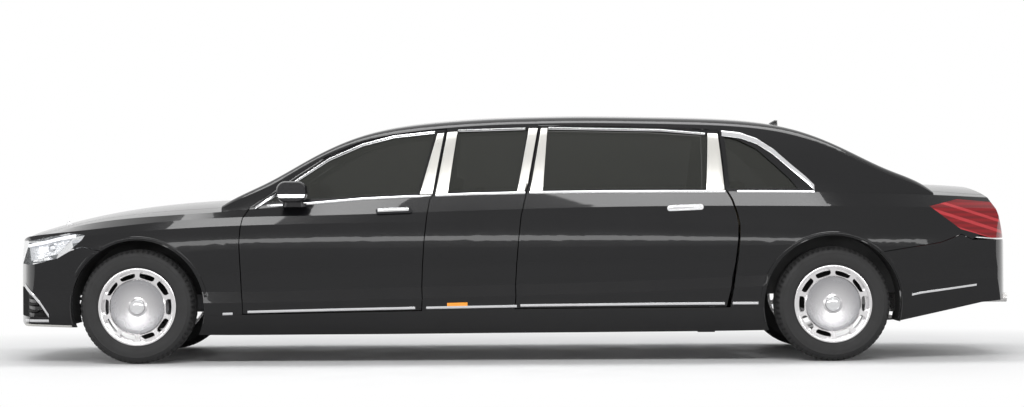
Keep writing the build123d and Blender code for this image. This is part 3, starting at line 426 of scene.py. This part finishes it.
def skin_of(*names):
    """One merged copy of CAD nodes, to lay trim on."""
    copies = []
    for name in names:
        made = nodes[name].data.copy()
        piece = bpy.data.objects.new("skin_copy", made)
        bpy.context.scene.collection.objects.link(piece)
        copies.append(piece)
    bpy.ops.object.select_all(action="DESELECT")
    for piece in copies:
        piece.select_set(True)
    bpy.context.view_layer.objects.active = copies[0]
    if len(copies) > 1:
        bpy.ops.object.join()
    skin = bpy.context.object
    edit("SELECT")
    bpy.ops.mesh.remove_doubles(threshold=0.00002)
    leave()
    return skin


def remove(piece):
    bpy.data.objects.remove(piece, do_unlink=True)


def ribbon(points, width, step=0.05):
    """A flat band in side view: one edge, extruded along the points."""
    first = Vector(points[0])
    bpy.ops.object.select_all(action="DESELECT")
    bpy.ops.mesh.primitive_plane_add(size=1, location=(first.x - 0.5, DRAWN_Y, first.y), rotation=(pi / 2, 0, 0))
    band = settle(bpy.context.object)
    edit("DESELECT")
    bpy.ops.mesh.select_mode(type="VERT")
    leave()
    for v in band.data.vertices:
        v.select = v.co.x < first.x - 0.5
    edit()
    bpy.ops.mesh.delete(type="VERT")
    bpy.ops.mesh.select_all(action="SELECT")
    heading = atan2(points[1][1] - points[0][1], points[1][0] - points[0][0])
    rise = width / max(STEEPEST, cos(heading))
    bpy.ops.transform.resize(value=(1, 1, rise), center_override=(first.x, DRAWN_Y, first.y))
    for a, b in zip(points, points[1:]):
        length = Vector((b[0] - a[0], b[1] - a[1])).length
        cuts = max(1, int(length / step))
        for _ in range(cuts):
            bpy.ops.mesh.extrude_region_move(
                TRANSFORM_OT_translate={"value": ((b[0] - a[0]) / cuts, 0, (b[1] - a[1]) / cuts)}
            )
    leave()
    return band


def panel(corners, cuts=8):
    """A four-sided plate in side view, lower edge first, then the upper edge."""
    (ax, az), (bx, bz), (cx, cz), (dx, dz) = corners
    bpy.ops.object.select_all(action="DESELECT")
    bpy.ops.mesh.primitive_grid_add(
        x_subdivisions=4, y_subdivisions=cuts, size=1, location=(0, DRAWN_Y, 0), rotation=(pi / 2, 0, 0)
    )
    plate = settle(bpy.context.object)
    for v in plate.data.vertices:
        u = v.co.x + 0.5
        w = v.co.z + 0.5
        low = Vector((ax + (bx - ax) * u, az + (bz - az) * u))
        high = Vector((dx + (cx - dx) * u, dz + (cz - dz) * u))
        spot = low + (high - low) * w
        v.co = (spot.x, DRAWN_Y, spot.y)
    return plate


def lay_on(piece, skin, lift, thickness, bevel=0.0):
    modify(piece, "SHRINKWRAP", target=skin, wrap_method="PROJECT", use_project_y=True,
           use_project_x=False, use_project_z=False, use_negative_direction=False, use_positive_direction=True,
           project_limit=-DRAWN_Y)
    only(piece)
    edit("DESELECT")
    bpy.ops.mesh.select_mode(type="VERT")
    leave()
    for v in piece.data.vertices:
        v.select = v.co.y < MISSED_Y
    edit()
    bpy.ops.mesh.delete(type="VERT")
    leave()
    if not piece.data.polygons:
        raise RuntimeError("no skin under %s" % piece.name)
    edit("SELECT")
    bpy.ops.mesh.normals_make_consistent(inside=False)
    leave()
    if piece.data.polygons and sum(p.normal.y * p.area for p in piece.data.polygons) > 0:
        edit("SELECT")
        bpy.ops.mesh.flip_normals()
        leave()
    for v in piece.data.vertices:
        v.co.y -= lift
    modify(piece, "SOLIDIFY", thickness=thickness, offset=1.0, use_even_offset=False)
    if bevel:
        modify(piece, "BEVEL", width=bevel, segments=2, limit_method="ANGLE", angle_limit=radians(50))
    only(piece)
    bpy.ops.object.shade_smooth_by_angle(angle=radians(35))


def chain(points):
    """A line of vertices from one point to the next."""
    bpy.ops.object.select_all(action="DESELECT")
    bpy.ops.mesh.primitive_plane_add(size=0.002, location=points[0])
    line = settle(bpy.context.object)
    edit("SELECT")
    bpy.ops.mesh.select_mode(type="VERT")
    bpy.ops.mesh.merge(type="CENTER")
    for a, b in zip(points, points[1:]):
        bpy.ops.mesh.extrude_region_move(TRANSFORM_OT_translate={"value": tuple(Vector(b) - Vector(a))})
    leave()
    return line


def spun(points, centre, axis, steps, angle=2 * pi):
    line = chain(points)
    edit("SELECT")
    bpy.ops.mesh.spin(steps=steps, angle=angle, center=centre, axis=axis)
    leave()
    outward(line)
    only(line)
    bpy.ops.object.shade_smooth_by_angle(angle=radians(40))
    return line


# Tyres
def make_tyre():
    half = [
        (0.2336, 0.0956), (0.2475, 0.0956), (0.2506, 0.1070), (0.2620, 0.1130), (0.2640, 0.1142), (0.2662, 0.1142),
        (0.2850, 0.1200), (0.3060, 0.1220), (0.3190, 0.1210), (0.3215, 0.1216), (0.3240, 0.1200), (0.3370, 0.1145),
        (0.3465, 0.1080), (0.3545, 0.0990), (0.3600, 0.0890), (0.3622, 0.0840), (0.3630, 0.0660), (0.3560, 0.0640),
        (0.3560, 0.0560), (0.3633, 0.0540), (0.3636, 0.0240), (0.3562, 0.0220), (0.3562, 0.0110), (0.3638, 0.0090),
    ]
    loop = half + [(r, -y) for r, y in reversed(half)]
    points = [(FRONT_WHEEL_X, WHEEL_Y + y, WHEEL_Z + r) for r, y in loop]
    tyre = spun(points + points[:1], (FRONT_WHEEL_X, WHEEL_Y, WHEEL_Z), (0, 1, 0), 192)
    hub = Vector((FRONT_WHEEL_X, WHEEL_Y, WHEEL_Z))
    edit("DESELECT")
    bpy.ops.mesh.select_mode(type="FACE")
    leave()
    for face in tyre.data.polygons:
        spot = face.center - hub
        radius = Vector((spot.x, spot.z)).length
        turn = (atan2(spot.x, spot.z) / (2 * pi) * 192) % 3
        across = abs(spot.y)
        face.select = turn < 1 and radius > 0.350 and 0.067 < across < 0.104
    edit()
    bpy.ops.mesh.extrude_region_shrink_fatten(TRANSFORM_OT_shrink_fatten={"value": -0.005})
    leave()
    return tyre


class LIMO_OT_tyres(bpy.types.Operator):
    """Four tyres with grooved treads and ribbed sidewalls"""

    bl_idname = "limo.tyres"
    bl_label = "Tyres"

    def execute(self, context):
        first = make_tyre()
        for end, x in (("front", FRONT_WHEEL_X), ("rear", REAR_WHEEL_X)):
            for hand, side in HANDS:
                tyre = copy_of(first, "tyre")
                edit("SELECT")
                bpy.ops.transform.translate(value=(x - FRONT_WHEEL_X, (side - 1) * WHEEL_Y, 0))
                leave()
                name = end + "_" + hand
                dress(tyre, "tread_tyre_" + name, "tyre", "wheel_" + name, ["tyre_" + name])
        remove(first)
        return {"FINISHED"}


class LIMO_OT_wheel_caps(bpy.types.Operator):
    """Bare hub caps and rim lips on the four wheels"""

    bl_idname = "limo.wheel_caps"
    bl_label = "Wheel caps"

    def execute(self, context):
        for end, x in (("front", FRONT_WHEEL_X), ("rear", REAR_WHEEL_X)):
            for hand, side in HANDS:
                name = end + "_" + hand
                face = side * (WHEEL_Y + 0.104)
                cap = spun(
                    [(x, face + side * d, WHEEL_Z + r) for r, d in (
                        (0.0, 0.006), (0.016, 0.0058), (0.030, 0.0045), (0.038, 0.0020), (0.040, 0.0045),
                        (0.0455, 0.0042), (0.0475, 0.0010), (0.0475, -0.0030))],
                    (x, face, WHEEL_Z), (0, 1, 0), 64,
                )
                dress(cap, "hub_cap_" + name, "chrome", "wheel_" + name)
                lip = spun(
                    [(x, side * WHEEL_Y + side * d, WHEEL_Z + r) for r, d in (
                        (0.2280, 0.1050), (0.2330, 0.1075), (0.2400, 0.1082), (0.2465, 0.1070), (0.2475, 0.1040),
                        (0.2290, 0.1040), (0.2280, 0.1050))],
                    (x, 0, WHEEL_Z), (0, 1, 0), 160,
                )
                dress(lip, "rim_lip_" + name, "alloy", "wheel_" + name)
        return {"FINISHED"}


# Bright trim along the left side, then its copy on the right
WINDOW_LINE_FRONT = [
    (-1.632, 0.988), (-1.589, 1.020), (-1.476, 1.090), (-1.356, 1.176), (-1.171, 1.298), (-0.960, 1.3905),
    (-0.7595, 1.4425), (-0.497, 1.4705),
]
WINDOW_LINE_MIDDLE = [(-0.346, 1.4810), (0.088, 1.4920)]
WINDOW_LINE_REAR = [(0.236, 1.4945), (0.960, 1.4785), (1.246, 1.4530)]
WINDOW_LINE_QUARTER = [
    (1.352, 1.454), (1.468, 1.440), (1.573, 1.402), (1.675, 1.333), (1.775, 1.241), (1.872, 1.156), (1.925, 1.102),
]
BELT_LINES = (
    ("front", [(-1.560, 1.003), (-1.285, 1.014), (-0.949, 1.042), (-0.592, 1.057), (-0.512, 1.060)], "door_front"),
    ("middle", [(-0.486, 1.062), (-0.250, 1.070), (0.084, 1.076)], "body"),
    ("rear", [(0.110, 1.077), (0.600, 1.080), (1.000, 1.080), (1.356, 1.078)], "door_rear"),
    ("quarter", [(1.376, 1.078), (1.600, 1.077), (1.925, 1.074)], "body"),
)
SILL_LINES = (
    ("fender", [(-1.905, 0.316), (-1.712, 0.322)], "body"),
    ("front", [(-1.682, 0.330), (-1.671, 0.331), (-1.100, 0.343), (-0.578, 0.352)], "door_front"),
    ("middle", [(-0.548, 0.352), (-0.250, 0.356), (0.028, 0.360)], "body"),
    ("rear", [(0.050, 0.364), (0.500, 0.367), (1.000, 0.370), (1.348, 0.371)], "door_rear"),
    ("quarter", [(1.398, 0.372), (1.561, 0.372)], "body"),
)
PLATES = (
    ("plate_1_door", [(-0.586, 1.070), (-0.506, 1.072), (-0.436, 1.466), (-0.478, 1.462)], "door_front", "door_front"),
    ("plate_1_body", [(-0.486, 1.072), (-0.408, 1.076), (-0.350, 1.474), (-0.414, 1.470)], "body", "roof_panel"),
    ("plate_2_body", [(0.034, 1.086), (0.092, 1.088), (0.168, 1.494), (0.112, 1.494)], "body", "roof_panel"),
    ("plate_2_door", [(0.116, 1.088), (0.196, 1.090), (0.230, 1.494), (0.190, 1.494)], "door_rear", "door_rear"),
    ("plate_3_door", [(1.236, 1.090), (1.352, 1.090), (1.326, 1.452), (1.262, 1.456)], "door_rear", "door_rear"),
)


def riding(body, hand):
    return body + "_" + hand if body.startswith("door") else body


class LIMO_OT_side_trim(bpy.types.Operator):
    """Chrome lines round the windows, pillar plates, sill strips and side markers"""

    bl_idname = "limo.side_trim"
    bl_label = "Side trim"

    def both(self, piece, name, finish, body):
        dress(piece, name + "_left", finish, riding(body, "left"))
        other_side(piece, name + "_right", finish, riding(body, "right"))

    def execute(self, context):
        whole = skin_of(
            "door_front_left", "door_rear_left", "roof_panel", "middle_panels", "front_fenders", "rear_quarters",
            "fixed_side_glass", "glass_front_left", "glass_rear_left", "rear_bumper", "front_bumper",
        )
        tops = (
            ("window_line_front", WINDOW_LINE_FRONT, "door_front"), ("window_line_middle", WINDOW_LINE_MIDDLE, "body"),
            ("window_line_rear", WINDOW_LINE_REAR, "door_rear"), ("window_line_quarter", WINDOW_LINE_QUARTER, "body"),
        )
        for name, points, body in tops:
            band = ribbon(points, 0.036 if name == "window_line_quarter" else 0.014)
            lay_on(band, whole, 0.0005, 0.004, 0.001)
            self.both(band, name, "chrome", body)
        for name, points, body in BELT_LINES:
            band = ribbon(points, 0.014)
            lay_on(band, whole, 0.0005, 0.004, 0.001)
            self.both(band, "belt_line_" + name, "chrome", body)
        for name, points, body in SILL_LINES:
            band = ribbon(points, 0.016)
            lay_on(band, whole, 0.0005, 0.005, 0.001)
            self.both(band, "sill_line_" + name, "chrome", body)
        for name, corners, body, under in PLATES:
            plate = panel(corners)
            lay_on(plate, whole, 0.0004, 0.0025, 0.0006)
            self.both(plate, name, "satin", body)
        marker = ribbon([(-0.415, 0.367), (-0.285, 0.370)], 0.030, 0.03)
        lay_on(marker, whole, 0.0005, 0.004, 0.0015)
        self.both(marker, "side_marker", "amber", "body")
        strip = ribbon([(2.540, 0.419), (2.600, 0.432), (2.780, 0.456), (2.960, 0.480)], 0.013, 0.03)
        lay_on(strip, whole, 0.0005, 0.004, 0.001)
        self.both(strip, "rear_bumper_line", "chrome", "body")
        remove(whole)
        return {"FINISHED"}


class LIMO_OT_handle_covers(bpy.types.Operator):
    """Bright covers on the four door handles"""

    bl_idname = "limo.handle_covers"
    bl_label = "Handle covers"

    def execute(self, context):
        front = skin_of("mirror_handle_left")
        rear = skin_of("handle_rear_left")
        bands = (
            ("handle_cover_front", front, [(-0.852, 0.971), (-0.750, 0.975), (-0.644, 0.978)], 0.022, "chrome",
             "door_front"),
            ("handle_cover_rear", rear, [(0.994, 0.981), (1.100, 0.986), (1.204, 0.991)], 0.022, "chrome",
             "door_rear"),
        )
        for name, skin, points, width, finish, body in bands:
            band = ribbon(points, width, 0.01)
            lay_on(band, skin, 0.0004, 0.0025, 0.001)
            dress(band, name + "_left", finish, body + "_left")
            other_side(band, name + "_right", finish, body + "_right")
        remove(front)
        remove(rear)
        return {"FINISHED"}


class LIMO_OT_arch_lips(bpy.types.Operator):
    """Rolled lips along the edges of the four wheel arches"""

    bl_idname = "limo.arch_lips"
    bl_label = "Arch lips"

    def execute(self, context):
        skin = skin_of("front_fenders", "rear_quarters", "front_bumper", "rear_bumper")
        for end, x, radius, first, last in (
            ("front", FRONT_WHEEL_X, 0.431, -64, 82), ("rear", REAR_WHEEL_X, 0.443, -84, 80),
        ):
            line = chain([(x, DRAWN_Y, WHEEL_Z + radius), (x, DRAWN_Y, WHEEL_Z + radius + 0.018)])
            edit("SELECT")
            bpy.ops.mesh.spin(steps=72, angle=radians(last - first), center=(x, 0, WHEEL_Z), axis=(0, 1, 0))
            bpy.ops.mesh.select_all(action="SELECT")
            bpy.ops.mesh.remove_doubles(threshold=0.00002)
            leave()
            turn = radians(last)
            for v in line.data.vertices:
                dx = v.co.x - x
                dz = v.co.z - WHEEL_Z
                v.co.x = x + dx * cos(turn) + dz * sin(turn)
                v.co.z = WHEEL_Z - dx * sin(turn) + dz * cos(turn)
            lay_on(line, skin, 0.0003, 0.005, 0.002)
            dress(line, "arch_lip_%s_left" % end, "paint", "body")
            other_side(line, "arch_lip_%s_right" % end, "paint", "body")
        remove(skin)
        return {"FINISHED"}


class LIMO_OT_arch_liners(bpy.types.Operator):
    """Dark splash liners in front of and behind each wheel, below the wheelhouses"""

    bl_idname = "limo.arch_liners"
    bl_label = "Arch liners"

    def execute(self, context):
        for end, x, radius in (("front", FRONT_WHEEL_X, 0.428), ("rear", REAR_WHEEL_X, 0.440)):
            for part, last in (("fore", -80), ("aft", 105)):
                turn = radians(last)
                line = chain([
                    (x + radius * sin(turn), y, WHEEL_Z + radius * cos(turn)) for y in (-0.56, -0.90)
                ])
                edit("SELECT")
                bpy.ops.mesh.spin(steps=10, angle=radians(25), center=(x, 0, WHEEL_Z), axis=(0, 1, 0))
                leave()
                outward(line)
                modify(line, "SOLIDIFY", thickness=0.003, offset=0.0, use_even_offset=False)
                dress(line, "arch_liner_%s_%s_left" % (end, part), "underbody", "body")
                other_side(line, "arch_liner_%s_%s_right" % (end, part), "underbody", "body")
        return {"FINISHED"}


# Lamps
class LIMO_OT_lamps(bpy.types.Operator):
    """Reflectors, projectors and light strips behind the headlamp lenses"""

    bl_idname = "limo.lamps"
    bl_label = "Lamps"

    def execute(self, context):
        lens = skin_of("headlamps")
        brow = ribbon([(-3.100, 0.752), (-2.990, 0.772), (-2.880, 0.797), (-2.775, 0.815)], 0.020, 0.02)
        lay_on(brow, lens, -0.020, 0.006, 0.002)
        dress(brow, "lamp_strip_left", "white_light", "body")
        other_side(brow, "lamp_strip_right", "white_light", "body")
        bowl = panel([(-3.080, 0.656), (-2.900, 0.700), (-2.800, 0.800), (-3.095, 0.742)], 12)
        lay_on(bowl, lens, -0.045, 0.004)
        dress(bowl, "lamp_bowl_left", "reflector", "body")
        other_side(bowl, "lamp_bowl_right", "reflector", "body")
        remove(lens)
        for hand, side in HANDS:
            for number, (x, z, y, r) in enumerate(((-3.020, 0.712, 0.800, 0.034), (-2.930, 0.738, 0.842, 0.030))):
                barrel = spun(
                    [(x, side * (y - 0.030 + d), z + q) for q, d in (
                        (0.0, 0.024), (r * 0.5, 0.021), (r * 0.80, 0.012), (r * 0.84, 0.006), (r * 0.92, 0.012),
                        (r, 0.010), (r, -0.030), (0.0, -0.030))],
                    (x, 0, z), (0, 1, 0), 48,
                )
                dress(barrel, "projector_%d_%s" % (number, hand), "reflector", "body")
        return {"FINISHED"}


class LIMO_OT_bonnet_fin(bpy.types.Operator):
    """A plain upright fin on the bonnet's centre line"""

    bl_idname = "limo.bonnet_fin"
    bl_label = "Bonnet fin"

    def execute(self, context):
        skin = skin_of("bonnet")
        x = -2.985
        found, spot, _, _ = skin.ray_cast(Vector((x, 0, 1.4)), Vector((0, 0, -1)))
        remove(skin)
        if not found:
            raise RuntimeError("the bonnet isn't under its fin")
        foot = spun(
            [(x, 0, spot.z - 0.003), (x + 0.016, 0, spot.z - 0.003), (x + 0.015, 0, spot.z + 0.003),
             (x + 0.008, 0, spot.z + 0.008), (x + 0.004, 0, spot.z + 0.020), (x, 0, spot.z + 0.022)],
            (x, 0, 0), (0, 0, 1), 32,
        )
        dress(foot, "bonnet_fin_foot", "chrome", "bonnet")
        bpy.ops.object.select_all(action="DESELECT")
        bpy.ops.mesh.primitive_cube_add(size=1, location=(x + 0.004, 0, spot.z + 0.045), scale=(0.010, 0.006, 0.056))
        blade = settle(bpy.context.object)
        edit("SELECT")
        bpy.ops.mesh.subdivide(number_cuts=3)
        leave()
        for v in blade.data.vertices:
            rise = (v.co.z - spot.z - 0.017) / 0.056
            v.co.y *= 1 - 0.6 * rise
            v.co.x += 0.014 * rise * rise
        modify(blade, "SUBSURF", levels=2, render_levels=2)
        only(blade)
        bpy.ops.object.shade_smooth()
        dress(blade, "bonnet_fin_blade", "chrome", "bonnet")
        return {"FINISHED"}


class LIMO_OT_front_trim(bpy.types.Operator):
    """Bright frames round the corner intakes and the lower blade"""

    bl_idname = "limo.front_trim"
    bl_label = "Front trim"

    def execute(self, context):
        skin = skin_of("front_bumper")
        edges = (
            ("intake_edge", [(-3.135, 0.500), (-3.062, 0.446), (-3.010, 0.388), (-2.958, 0.306)], 0.020, "chrome"),
            ("intake_foot", [(-3.130, 0.276), (-3.050, 0.276), (-2.960, 0.276)], 0.018, "chrome"),
            ("lower_blade", [(-3.120, 0.248), (-3.040, 0.246), (-2.900, 0.242), (-2.810, 0.240)], 0.014, "satin"),
        )
        for name, points, width, finish in edges:
            band = ribbon(points, width, 0.02)
            lay_on(band, skin, 0.0005, 0.006, 0.002)
            dress(band, name + "_left", finish, "body")
            other_side(band, name + "_right", finish, "body")
        remove(skin)
        return {"FINISHED"}


# Seats: one padded cushion, backrest and headrest, each simulated once
def padded_form(size, bevel, cap):
    bpy.ops.object.select_all(action="DESELECT")
    bpy.ops.mesh.primitive_cube_add(size=1, scale=tuple(s * 0.95 for s in size))
    pad = settle(bpy.context.object)
    modify(pad, "BEVEL", width=bevel, segments=4)
    modify(pad, "REMESH", mode="VOXEL", voxel_size=0.012)
    rest = [v.co.copy() for v in pad.data.vertices]
    only(pad)
    cloth = pad.modifiers.new("cloth", "CLOTH")
    cloth.settings.quality = 5
    cloth.settings.mass = 0.3
    cloth.settings.tension_stiffness = 20
    cloth.settings.compression_stiffness = 20
    cloth.settings.bending_stiffness = 2
    cloth.settings.use_pressure = True
    cloth.settings.uniform_pressure_force = 4
    cloth.settings.effector_weights.gravity = 0
    cloth.point_cache.frame_start = 1
    cloth.point_cache.frame_end = 20
    for number in range(1, 21):
        bpy.context.scene.frame_set(number)
    bpy.ops.object.modifier_apply(modifier="cloth")
    bpy.context.scene.frame_set(1)
    for v, start in zip(pad.data.vertices, rest):
        move = v.co - start
        if move.length > cap:
            v.co = start + move.normalized() * cap
    return pad


def channels(pad, count, depth, width):
    """Sewn channels across the middle of a pad's top."""
    low = min(v.co.x for v in pad.data.vertices)
    high = max(v.co.x for v in pad.data.vertices)
    top = max(v.co.z for v in pad.data.vertices)
    for v in pad.data.vertices:
        if v.co.z < top * 0.3 or abs(v.co.y) > width / 2:
            continue
        for i in range(1, count + 1):
            away = abs(v.co.x - (low + (high - low) * i / (count + 1)))
            if away < 0.016:
                v.co.z -= depth * (1 + cos(pi * away / 0.016)) / 2


def seat_set(x, y, facing, cushion_top, width):
    """Cushion, backrest and headrest for one place."""
    return (
        ("cushion", (x + facing * 0.265, y, cushion_top - 0.070), 0, (1, width / 0.52, 1)),
        ("back", (x + facing * 0.560, y, cushion_top + 0.250), facing * 66, (1, width / 0.52, 1)),
        ("rest", (x + facing * 0.665, y, cushion_top + 0.560), facing * 74, (1, 1, 1)),
    )


class LIMO_OT_seats(bpy.types.Operator):
    """Padded leather seats: two in front, three at the back and two that face them"""

    bl_idname = "limo.seats"
    bl_label = "Seats"

    def execute(self, context):
        forms = {
            "cushion": padded_form((0.52, 0.52, 0.15), 0.045, 0.022),
            "back": padded_form((0.60, 0.52, 0.13), 0.045, 0.022),
            "rest": padded_form((0.17, 0.27, 0.10), 0.035, 0.012),
        }
        channels(forms["cushion"], 4, 0.010, 0.30)
        channels(forms["back"], 5, 0.010, 0.30)
        for form in forms.values():
            modify(form, "SUBSURF", levels=1, render_levels=1)
            only(form)
            bpy.ops.object.shade_smooth()
        rows = (
            ("front", -1.159, 0.500, 1, 0.50, (-0.370, 0.370), "front_seats"),
            ("rear", 0.800, 0.510, 1, 0.42, (-0.430, 0.0, 0.430), "rear_seats"),
            ("jump", 0.465, 0.480, -1, 0.46, (-0.330, 0.330), "jump_seats"),
        )
        for row, x, top, facing, width, places, node in rows:
            shell = skin_of(node)
            low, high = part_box(node)
            for v in shell.data.vertices:
                v.co.x = v.co.x + facing * 0.055 * min(1, max(0, (v.co.z - 0.44) / 0.2))
                v.co.z = 0.232 + (v.co.z - 0.232) * 0.86
                v.co.x = min(high.x, max(low.x, v.co.x))
            dress(shell, row + "_seat_shell", "leather", "body", [node])
            for number, y in enumerate(places):
                for part, spot, tilt, scale in seat_set(x, y, facing, top, width):
                    pad = copy_of(forms[part], part)
                    edit("SELECT")
                    bpy.ops.transform.resize(value=scale, center_override=(0, 0, 0))
                    leave()
                    turn = radians(-tilt)
                    for v in pad.data.vertices:
                        px, pz = v.co.x, v.co.z
                        v.co.x = spot[0] + px * cos(turn) + pz * sin(turn)
                        v.co.z = spot[2] - px * sin(turn) + pz * cos(turn)
                        v.co.y += spot[1]
                    dress(pad, "%s_%s_%d" % (row, part, number), "leather", "body", [node])
        for form in forms.values():
            remove(form)
        return {"FINISHED"}


class LIMO_OT_finishes(bpy.types.Operator):
    """Better finishes on the CAD pieces that stay"""

    bl_idname = "limo.finishes"
    bl_label = "Finishes"

    def execute(self, context):
        slot_of = {row["node"]: row["material_slot"] for row in frame["record"]["subparts"]}
        for name, piece in nodes.items():
            finish = finishes["mirror_shell" if name.startswith("mirror_handle") else slot_of[name]]
            piece.data.materials.clear()
            piece.data.materials.append(finish)
        return {"FINISHED"}


class LIMO_OT_studio(bpy.types.Operator):
    """Pale floor, soft lights, white surroundings and the camera at the photograph's angle"""

    bl_idname = "limo.studio"
    bl_label = "Studio"

    def softbox(self, name, place, aim, width, depth, power):
        light = bpy.data.lights.new(name, "AREA")
        light.shape = "RECTANGLE"
        light.size = width
        light.size_y = depth
        light.energy = power
        lamp = bpy.data.objects.new(name, light)
        bpy.context.scene.collection.objects.link(lamp)
        lamp.location = place
        lamp.rotation_euler = (Vector(aim) - Vector(place)).to_track_quat("-Z", "Y").to_euler()

    def execute(self, context):
        look = context.scene.limo_look
        scene = context.scene
        bpy.ops.object.select_all(action="DESELECT")
        bpy.ops.mesh.primitive_plane_add(size=80, location=(0, 0, -0.0005))
        floor = settle(bpy.context.object)
        floor.name = "studio_floor"
        floor.data.materials.append(floor_finish())
        self.softbox("key", (-0.5, -8.0, 6.2), (0, -0.6, 0.7), 9.0, 1.6, look.key_power)
        self.softbox("band", (0, -8.0, 1.55), (0, -0.9, 1.1), 11.0, 0.5, look.key_power * 0.22)
        self.softbox("top", (0.0, 0.5, 6.5), (0, 0, 0.8), 9.0, 2.0, look.key_power * 0.6)
        self.softbox("nose", (-9.0, -5.0, 2.6), (-2.4, -0.4, 0.6), 3.0, 1.6, look.key_power * 0.22)
        self.softbox("tail", (9.0, -5.0, 2.6), (2.4, -0.4, 0.6), 3.0, 1.4, look.key_power * 0.14)
        world = bpy.data.worlds.new("studio")
        scene.world = world
        world.use_nodes = True
        tree = world.node_tree
        tree.nodes.clear()
        out = tree.nodes.new("ShaderNodeOutputWorld")
        dim = tree.nodes.new("ShaderNodeBackground")
        dim.inputs[0].default_value = (0.92, 0.95, 1.0, 1)
        dim.inputs[1].default_value = look.fill
        white = tree.nodes.new("ShaderNodeBackground")
        white.inputs[0].default_value = (1, 1, 1, 1)
        white.inputs[1].default_value = 1.0
        mix = tree.nodes.new("ShaderNodeMixShader")
        tree.links.new(shown(tree).socket, mix.inputs[0])
        tree.links.new(dim.outputs[0], mix.inputs[1])
        tree.links.new(white.outputs[0], mix.inputs[2])
        tree.links.new(mix.outputs[0], out.inputs[0])
        lens = bpy.data.cameras.new("camera")
        lens.sensor_width = 36
        lens.lens = 83.3
        camera = bpy.data.objects.new("camera", lens)
        scene.collection.objects.link(camera)
        camera.location = (0, -15.95, 1.010)
        camera.rotation_euler = (radians(90), radians(look.roll), 0)
        scene.camera = camera
        scene.view_settings.view_transform = "Standard"
        return {"FINISHED"}


class LimoLook(bpy.types.PropertyGroup):
    paint: bpy.props.FloatVectorProperty(
        name="Paint", description="Colour of the body", subtype="COLOR", size=3, default=(0.004, 0.004, 0.0045)
    )
    side_tint: bpy.props.FloatProperty(
        name="Side glass", description="How dark the side and rear glass is", subtype="FACTOR", default=0.72,
        min=0, max=0.97,
    )
    front_tint: bpy.props.FloatProperty(
        name="Windscreen", description="How dark the windscreen is", subtype="FACTOR", default=0.45, min=0, max=0.97
    )
    key_power: bpy.props.FloatProperty(
        name="Key light", description="Power of the large soft light", unit="POWER", default=560.0, min=0
    )
    fill: bpy.props.FloatProperty(name="Fill", description="Strength of the surroundings", default=0.22, min=0)
    roll: bpy.props.FloatProperty(name="Roll", description="Roll of the camera in degrees", default=0.27)


OPERATORS = (
    LIMO_OT_finishes, LIMO_OT_tyres, LIMO_OT_wheel_caps, LIMO_OT_side_trim, LIMO_OT_handle_covers,
    LIMO_OT_arch_lips, LIMO_OT_arch_liners, LIMO_OT_lamps, LIMO_OT_bonnet_fin, LIMO_OT_front_trim, LIMO_OT_seats,
    LIMO_OT_studio,
)


class LIMO_PT_panel(bpy.types.Panel):
    bl_label = "Limousine"
    bl_idname = "LIMO_PT_panel"
    bl_space_type = "VIEW_3D"
    bl_region_type = "UI"
    bl_category = "Limousine"

    def draw(self, context):
        look = context.scene.limo_look
        for name in ("paint", "side_tint", "front_tint", "key_power", "fill", "roll"):
            self.layout.prop(look, name)
        for operator in OPERATORS:
            self.layout.operator(operator.bl_idname)


CLASSES = (LimoLook, LIMO_PT_panel) + OPERATORS


def register():
    for kind in CLASSES:
        bpy.utils.register_class(kind)
    bpy.types.Scene.limo_look = bpy.props.PointerProperty(type=LimoLook)


def unregister():
    del bpy.types.Scene.limo_look
    for kind in reversed(CLASSES):
        bpy.utils.unregister_class(kind)


def main():
    register()
    make_finishes(bpy.context.scene.limo_look)
    for operator in OPERATORS:
        space, name = operator.bl_idname.split(".")
        getattr(getattr(bpy.ops, space), name)()


if __name__ == "__main__":
    main()
